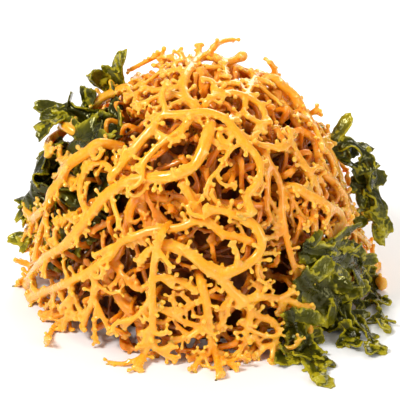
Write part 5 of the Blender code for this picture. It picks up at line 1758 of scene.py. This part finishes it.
@functools.lru_cache(maxsize=None)
def settled():
    """The settled tangle, how far it was moved to centre it, and the crowd of all that it holds."""
    tangle = Tangle()
    lay_front_fronds(tangle)
    lay_green_fronds(tangle)
    lay_back_fronds(tangle)
    lay_heart_strands(tangle)
    add_knobs(tangle)
    middle = tangle.settle()
    return tangle, np.array((middle[0], middle[1], 0.0)), Crowd(tangle)


def colour_property(name, description, default):
    return FloatVectorProperty(name=name, description=description, default=default, size=3, min=0.0, max=1.0,
                               subtype="COLOR")


def length_property(name, description, default, low, high):
    return FloatProperty(name=name, description=description, default=default, min=low, max=high,
                         unit="LENGTH", subtype="DISTANCE", precision=5)


def share_property(name, description, default):
    return FloatProperty(name=name, description=description, default=default, min=0.0, max=1.0,
                         subtype="FACTOR")


def power_property(name, default):
    description = f"Power of the {name.lower()}"
    return FloatProperty(name=name, description=description, default=default, min=0.0, unit="POWER")


class GoldSettings(bpy.types.PropertyGroup):
    """The gold fronds: their colours, their gloss and how thickly they branch."""

    # Bright is the gold's own colour; shaded and deep are painted shade for the strands further inside the
    # heap
    bright: colour_property("Bright gold", "Colour of the strands outside", (1.0, 0.415, 0.016))
    shaded: colour_property("Shaded gold", "Colour of the strands a little way in", (0.80, 0.27, 0.007))
    deep: colour_property("Deep gold", "Colour of the strands far inside the heap", (0.26, 0.065, 0.003))
    # Pale is a painted glow of light through the thin tips and knobs
    pale: colour_property("Pale tips", "Colour of the tips and knobs", (1.0, 0.56, 0.10))
    gloss: share_property("Roughness", "How rough the wet surface is where it is smoothest", 0.16)
    glow: length_property("Glow", "How far light travels inside a strand", 0.0026, 0.0005, 0.02)
    twig_spacing: length_property("Twig spacing", "The way from one twig to the next", 0.019, 0.004, 0.1)
    bead_spacing: length_property("Bead spacing", "The way from one bead to the next", 0.005, 0.002, 0.05)
    stub_spacing: length_property("Stub spacing", "The way from one stub to the next", 0.012, 0.004, 0.1)
    voxel: length_property("Voxel", "How fine the fused skin is", 0.00055, 0.0003, 0.002)
    share: share_property("Faces kept", "The share of the fused skin's faces that is kept", 0.27)


class GreenSettings(bpy.types.PropertyGroup):
    """The green fronds: their colours, their gloss and their waves."""

    # Dark is painted shade for a blade's thick middle and the inside of the heap, edge is a painted glow of
    # light through thin edges and fingers, and olive is the blade's own colour
    dark: colour_property("Dark green", "Colour of a blade's folds and its root", (0.018, 0.018, 0.001))
    olive: colour_property("Olive", "Colour of a blade's flat parts", (0.085, 0.08, 0.003))
    edge: colour_property("Edge green", "Colour of a blade's thin edges and fingers", (0.40, 0.33, 0.010))
    gloss: share_property("Roughness", "How rough the wet surface is where it is smoothest", 0.09)
    glow: length_property("Glow", "How far light travels inside a blade", 0.0015, 0.0002, 0.02)
    ruffle: length_property("Ruffle", "How high the waves along a blade's edges stand", 0.0024, 0.0, 0.01)
    voxel: length_property("Voxel", "How fine the fused skin is", 0.0005, 0.0003, 0.002)
    share: share_property("Faces kept", "The share of the fused skin's faces that is kept", 0.26)


class HeartSettings(bpy.types.PropertyGroup):
    """The tangle at the heart: how many strands it has and how dark the painted shade inside it is."""

    strands: IntProperty(name="Strands", description="How many crowded strands the heart has", default=330,
                         min=10, max=1000)
    # Both colours of the core are painted shade
    core_dark: colour_property("Dark brown", "The darkest colour of the core", (0.05, 0.011, 0.0008))
    core_light: colour_property("Red brown", "The lightest colour of the core", (0.22, 0.055, 0.003))
    voxel: length_property("Voxel", "How fine the fused skin is", 0.0008, 0.0003, 0.002)
    share: share_property("Faces kept", "The share of the fused skin's faces that is kept", 0.28)


class StageSettings(bpy.types.PropertyGroup):
    """The floor, the lights and the camera."""

    floor: colour_property("Floor", "Colour of the floor", (0.95, 0.945, 0.935))
    floor_size: length_property("Floor size", "Length of the floor's sides", 12.0, 1.0, 50.0)
    tilt: FloatProperty(name="Camera tilt", description="How far down the camera looks", default=VIEW_TILT,
                        subtype="ANGLE", unit="ROTATION")
    lens: FloatProperty(name="Lens", description="The camera's focal length in millimetres", default=300.0,
                        min=20.0, max=400.0, unit="CAMERA")
    pixel: length_property("Pixel", "The real length that a pixel shows", 0.000575, 0.0001, 0.01)
    key: power_property("Key light", 9.5)
    fill: power_property("Fill light", 3.4)
    back: power_property("Back light", 6.5)
    sky: FloatProperty(name="Sky", description="Strength of the even light from all round", default=0.42,
                       min=0.0)


class SEAMOSS_OT_gold_fronds(bpy.types.Operator):
    """Grow the fine skins of the gold fronds, one piece for each"""

    bl_idname = "sea_moss.gold_fronds"
    bl_label = "Gold fronds"

    def execute(self, context):
        settings = context.scene.sea_moss_gold
        tangle, _, crowd = settled()
        material = wet_gold("wet gold jelly", settings, GOLD_SHADE_DEPTHS)
        random = np.random.RandomState(TWIG_SEED)
        for frond in frond_names(tangle, "gold"):
            skin = gold_skin(tangle, crowd, frond, settings, random)
            crowd.index()
            piece = fuse("skin_" + frond, skin, settings)
            dress(piece, material, "gold_frond", frond)
        return {"FINISHED"}


class SEAMOSS_OT_green_fronds(bpy.types.Operator):
    """Grow the fine skins of the green fronds, one piece for each"""

    bl_idname = "sea_moss.green_fronds"
    bl_label = "Green fronds"

    def execute(self, context):
        settings = context.scene.sea_moss_green
        tangle, _, _ = settled()
        material = wet_green(settings)
        random = np.random.RandomState(FINGER_SEED)
        for frond in frond_names(tangle, "green"):
            skin = green_skin(tangle, frond, settings, random)
            piece = fuse("skin_" + frond, skin, settings)
            dress(piece, material, "green_frond", frond)
        return {"FINISHED"}


class SEAMOSS_OT_heart_tangle(bpy.types.Operator):
    """Fill the heart of the heap with crowded strands over a dark core"""

    bl_idname = "sea_moss.heart_tangle"
    bl_label = "Heart tangle"

    def execute(self, context):
        settings = context.scene.sea_moss_heart
        tangle, middle, crowd = settled()
        # The core carries painted shade, for the dark holes between the heart's strands
        vertices, faces = heart_core()
        core = make_object("heart_core", [vertices - middle], faces)
        core.data.shade_smooth()
        dress(core, painted_shade_core(settings), "heart_tangle", HEART_NAME)
        # The heart's strands take the gold with more painted shade, which reaches further out
        material = wet_gold("deep gold jelly", context.scene.sea_moss_gold, HEART_SHADE_DEPTHS)
        for number, skin in enumerate(heart_strands(tangle, crowd, settings.strands, middle)):
            piece = fuse(f"heart_strands_{number + 1}", skin, settings, whole=False)
            dress(piece, material, "heart_tangle", HEART_NAME)
        return {"FINISHED"}


def point_at(item, place, target):
    item.location = place
    item.rotation_euler = (Vector(target) - Vector(place)).to_track_quat("-Z", "Y").to_euler()


def add_light(light, power):
    """A soft square light that faces the heap."""
    data = bpy.data.lights.new(light.name, "AREA")
    data.energy = power
    data.shape = "SQUARE"
    data.size = light.size
    data.color = light.colour
    item = bpy.data.objects.new(light.name, data)
    bpy.context.scene.collection.objects.link(item)
    point_at(item, light.place, LIGHTS_AIM)


class SEAMOSS_OT_stage(bpy.types.Operator):
    """Set up the pale floor, the soft lights and the camera at the photograph's angle"""

    bl_idname = "sea_moss.stage"
    bl_label = "Stage"

    def execute(self, context):
        settings = context.scene.sea_moss_stage
        scene = context.scene
        half = 0.5 * settings.floor_size
        corners = [(-half, -half, 0.0), (half, -half, 0.0), (half, half, 0.0), (-half, half, 0.0)]
        mesh = bpy.data.meshes.new("floor")
        mesh.from_pydata(corners, [], [(0, 1, 2, 3)])
        floor = bpy.data.objects.new("floor", mesh)
        scene.collection.objects.link(floor)
        finish = Finish("pale floor")
        finish.surface({"Base Color": rgba(settings.floor)})
        finish.surface(FLOOR_SURFACE)
        mesh.materials.append(finish.material)

        world = bpy.data.worlds.new("even light")
        world.use_nodes = True
        background = world.node_tree.nodes["Background"]
        background.inputs["Color"].default_value = rgba(WHITE)
        background.inputs["Strength"].default_value = settings.sky
        scene.world = world
        scene.view_settings.view_transform = "Standard"

        for light in LIGHTS:
            add_light(light, getattr(settings, light.name))

        _, middle, _ = settled()
        up = np.array((0.0, math.sin(settings.tilt), math.cos(settings.tilt)))
        back = np.array((0.0, -math.cos(settings.tilt), math.sin(settings.tilt)))
        aim = MM * (RAISED * up - middle)
        data = bpy.data.cameras.new("camera")
        data.lens = settings.lens
        distance = FRAME_PIXELS * settings.pixel * settings.lens / data.sensor_width
        camera = bpy.data.objects.new("camera", data)
        scene.collection.objects.link(camera)
        point_at(camera, aim + distance * back, aim)
        scene.camera = camera
        return {"FINISHED"}


class SEAMOSS_PT_panel(bpy.types.Panel):
    """Sizes, colours and buttons of the sea moss heap"""

    bl_idname = "SEAMOSS_PT_panel"
    bl_label = "Sea moss heap"
    bl_space_type = "VIEW_3D"
    bl_region_type = "UI"
    bl_category = "Sea moss"

    def draw(self, context):
        for name, operator in zip(GROUPS, OPERATORS):
            box = self.layout.box()
            group = getattr(context.scene, name)
            for key in GROUPS[name].__annotations__:
                box.prop(group, key)
            box.operator(operator.bl_idname)


GROUPS = {
    "sea_moss_gold": GoldSettings,
    "sea_moss_green": GreenSettings,
    "sea_moss_heart": HeartSettings,
    "sea_moss_stage": StageSettings,
}
OPERATORS = (SEAMOSS_OT_gold_fronds, SEAMOSS_OT_green_fronds, SEAMOSS_OT_heart_tangle, SEAMOSS_OT_stage)
CLASSES = (*GROUPS.values(), *OPERATORS, SEAMOSS_PT_panel)


def register():
    for item in CLASSES:
        bpy.utils.register_class(item)
    for name, group in GROUPS.items():
        setattr(bpy.types.Scene, name, PointerProperty(type=group))


def unregister():
    for name in GROUPS:
        delattr(bpy.types.Scene, name)
    for item in reversed(CLASSES):
        bpy.utils.unregister_class(item)


def main():
    register()
    bpy.ops.sea_moss.gold_fronds()
    bpy.ops.sea_moss.green_fronds()
    bpy.ops.sea_moss.heart_tangle()
    bpy.ops.sea_moss.stage()


if __name__ == "__main__":
    main()
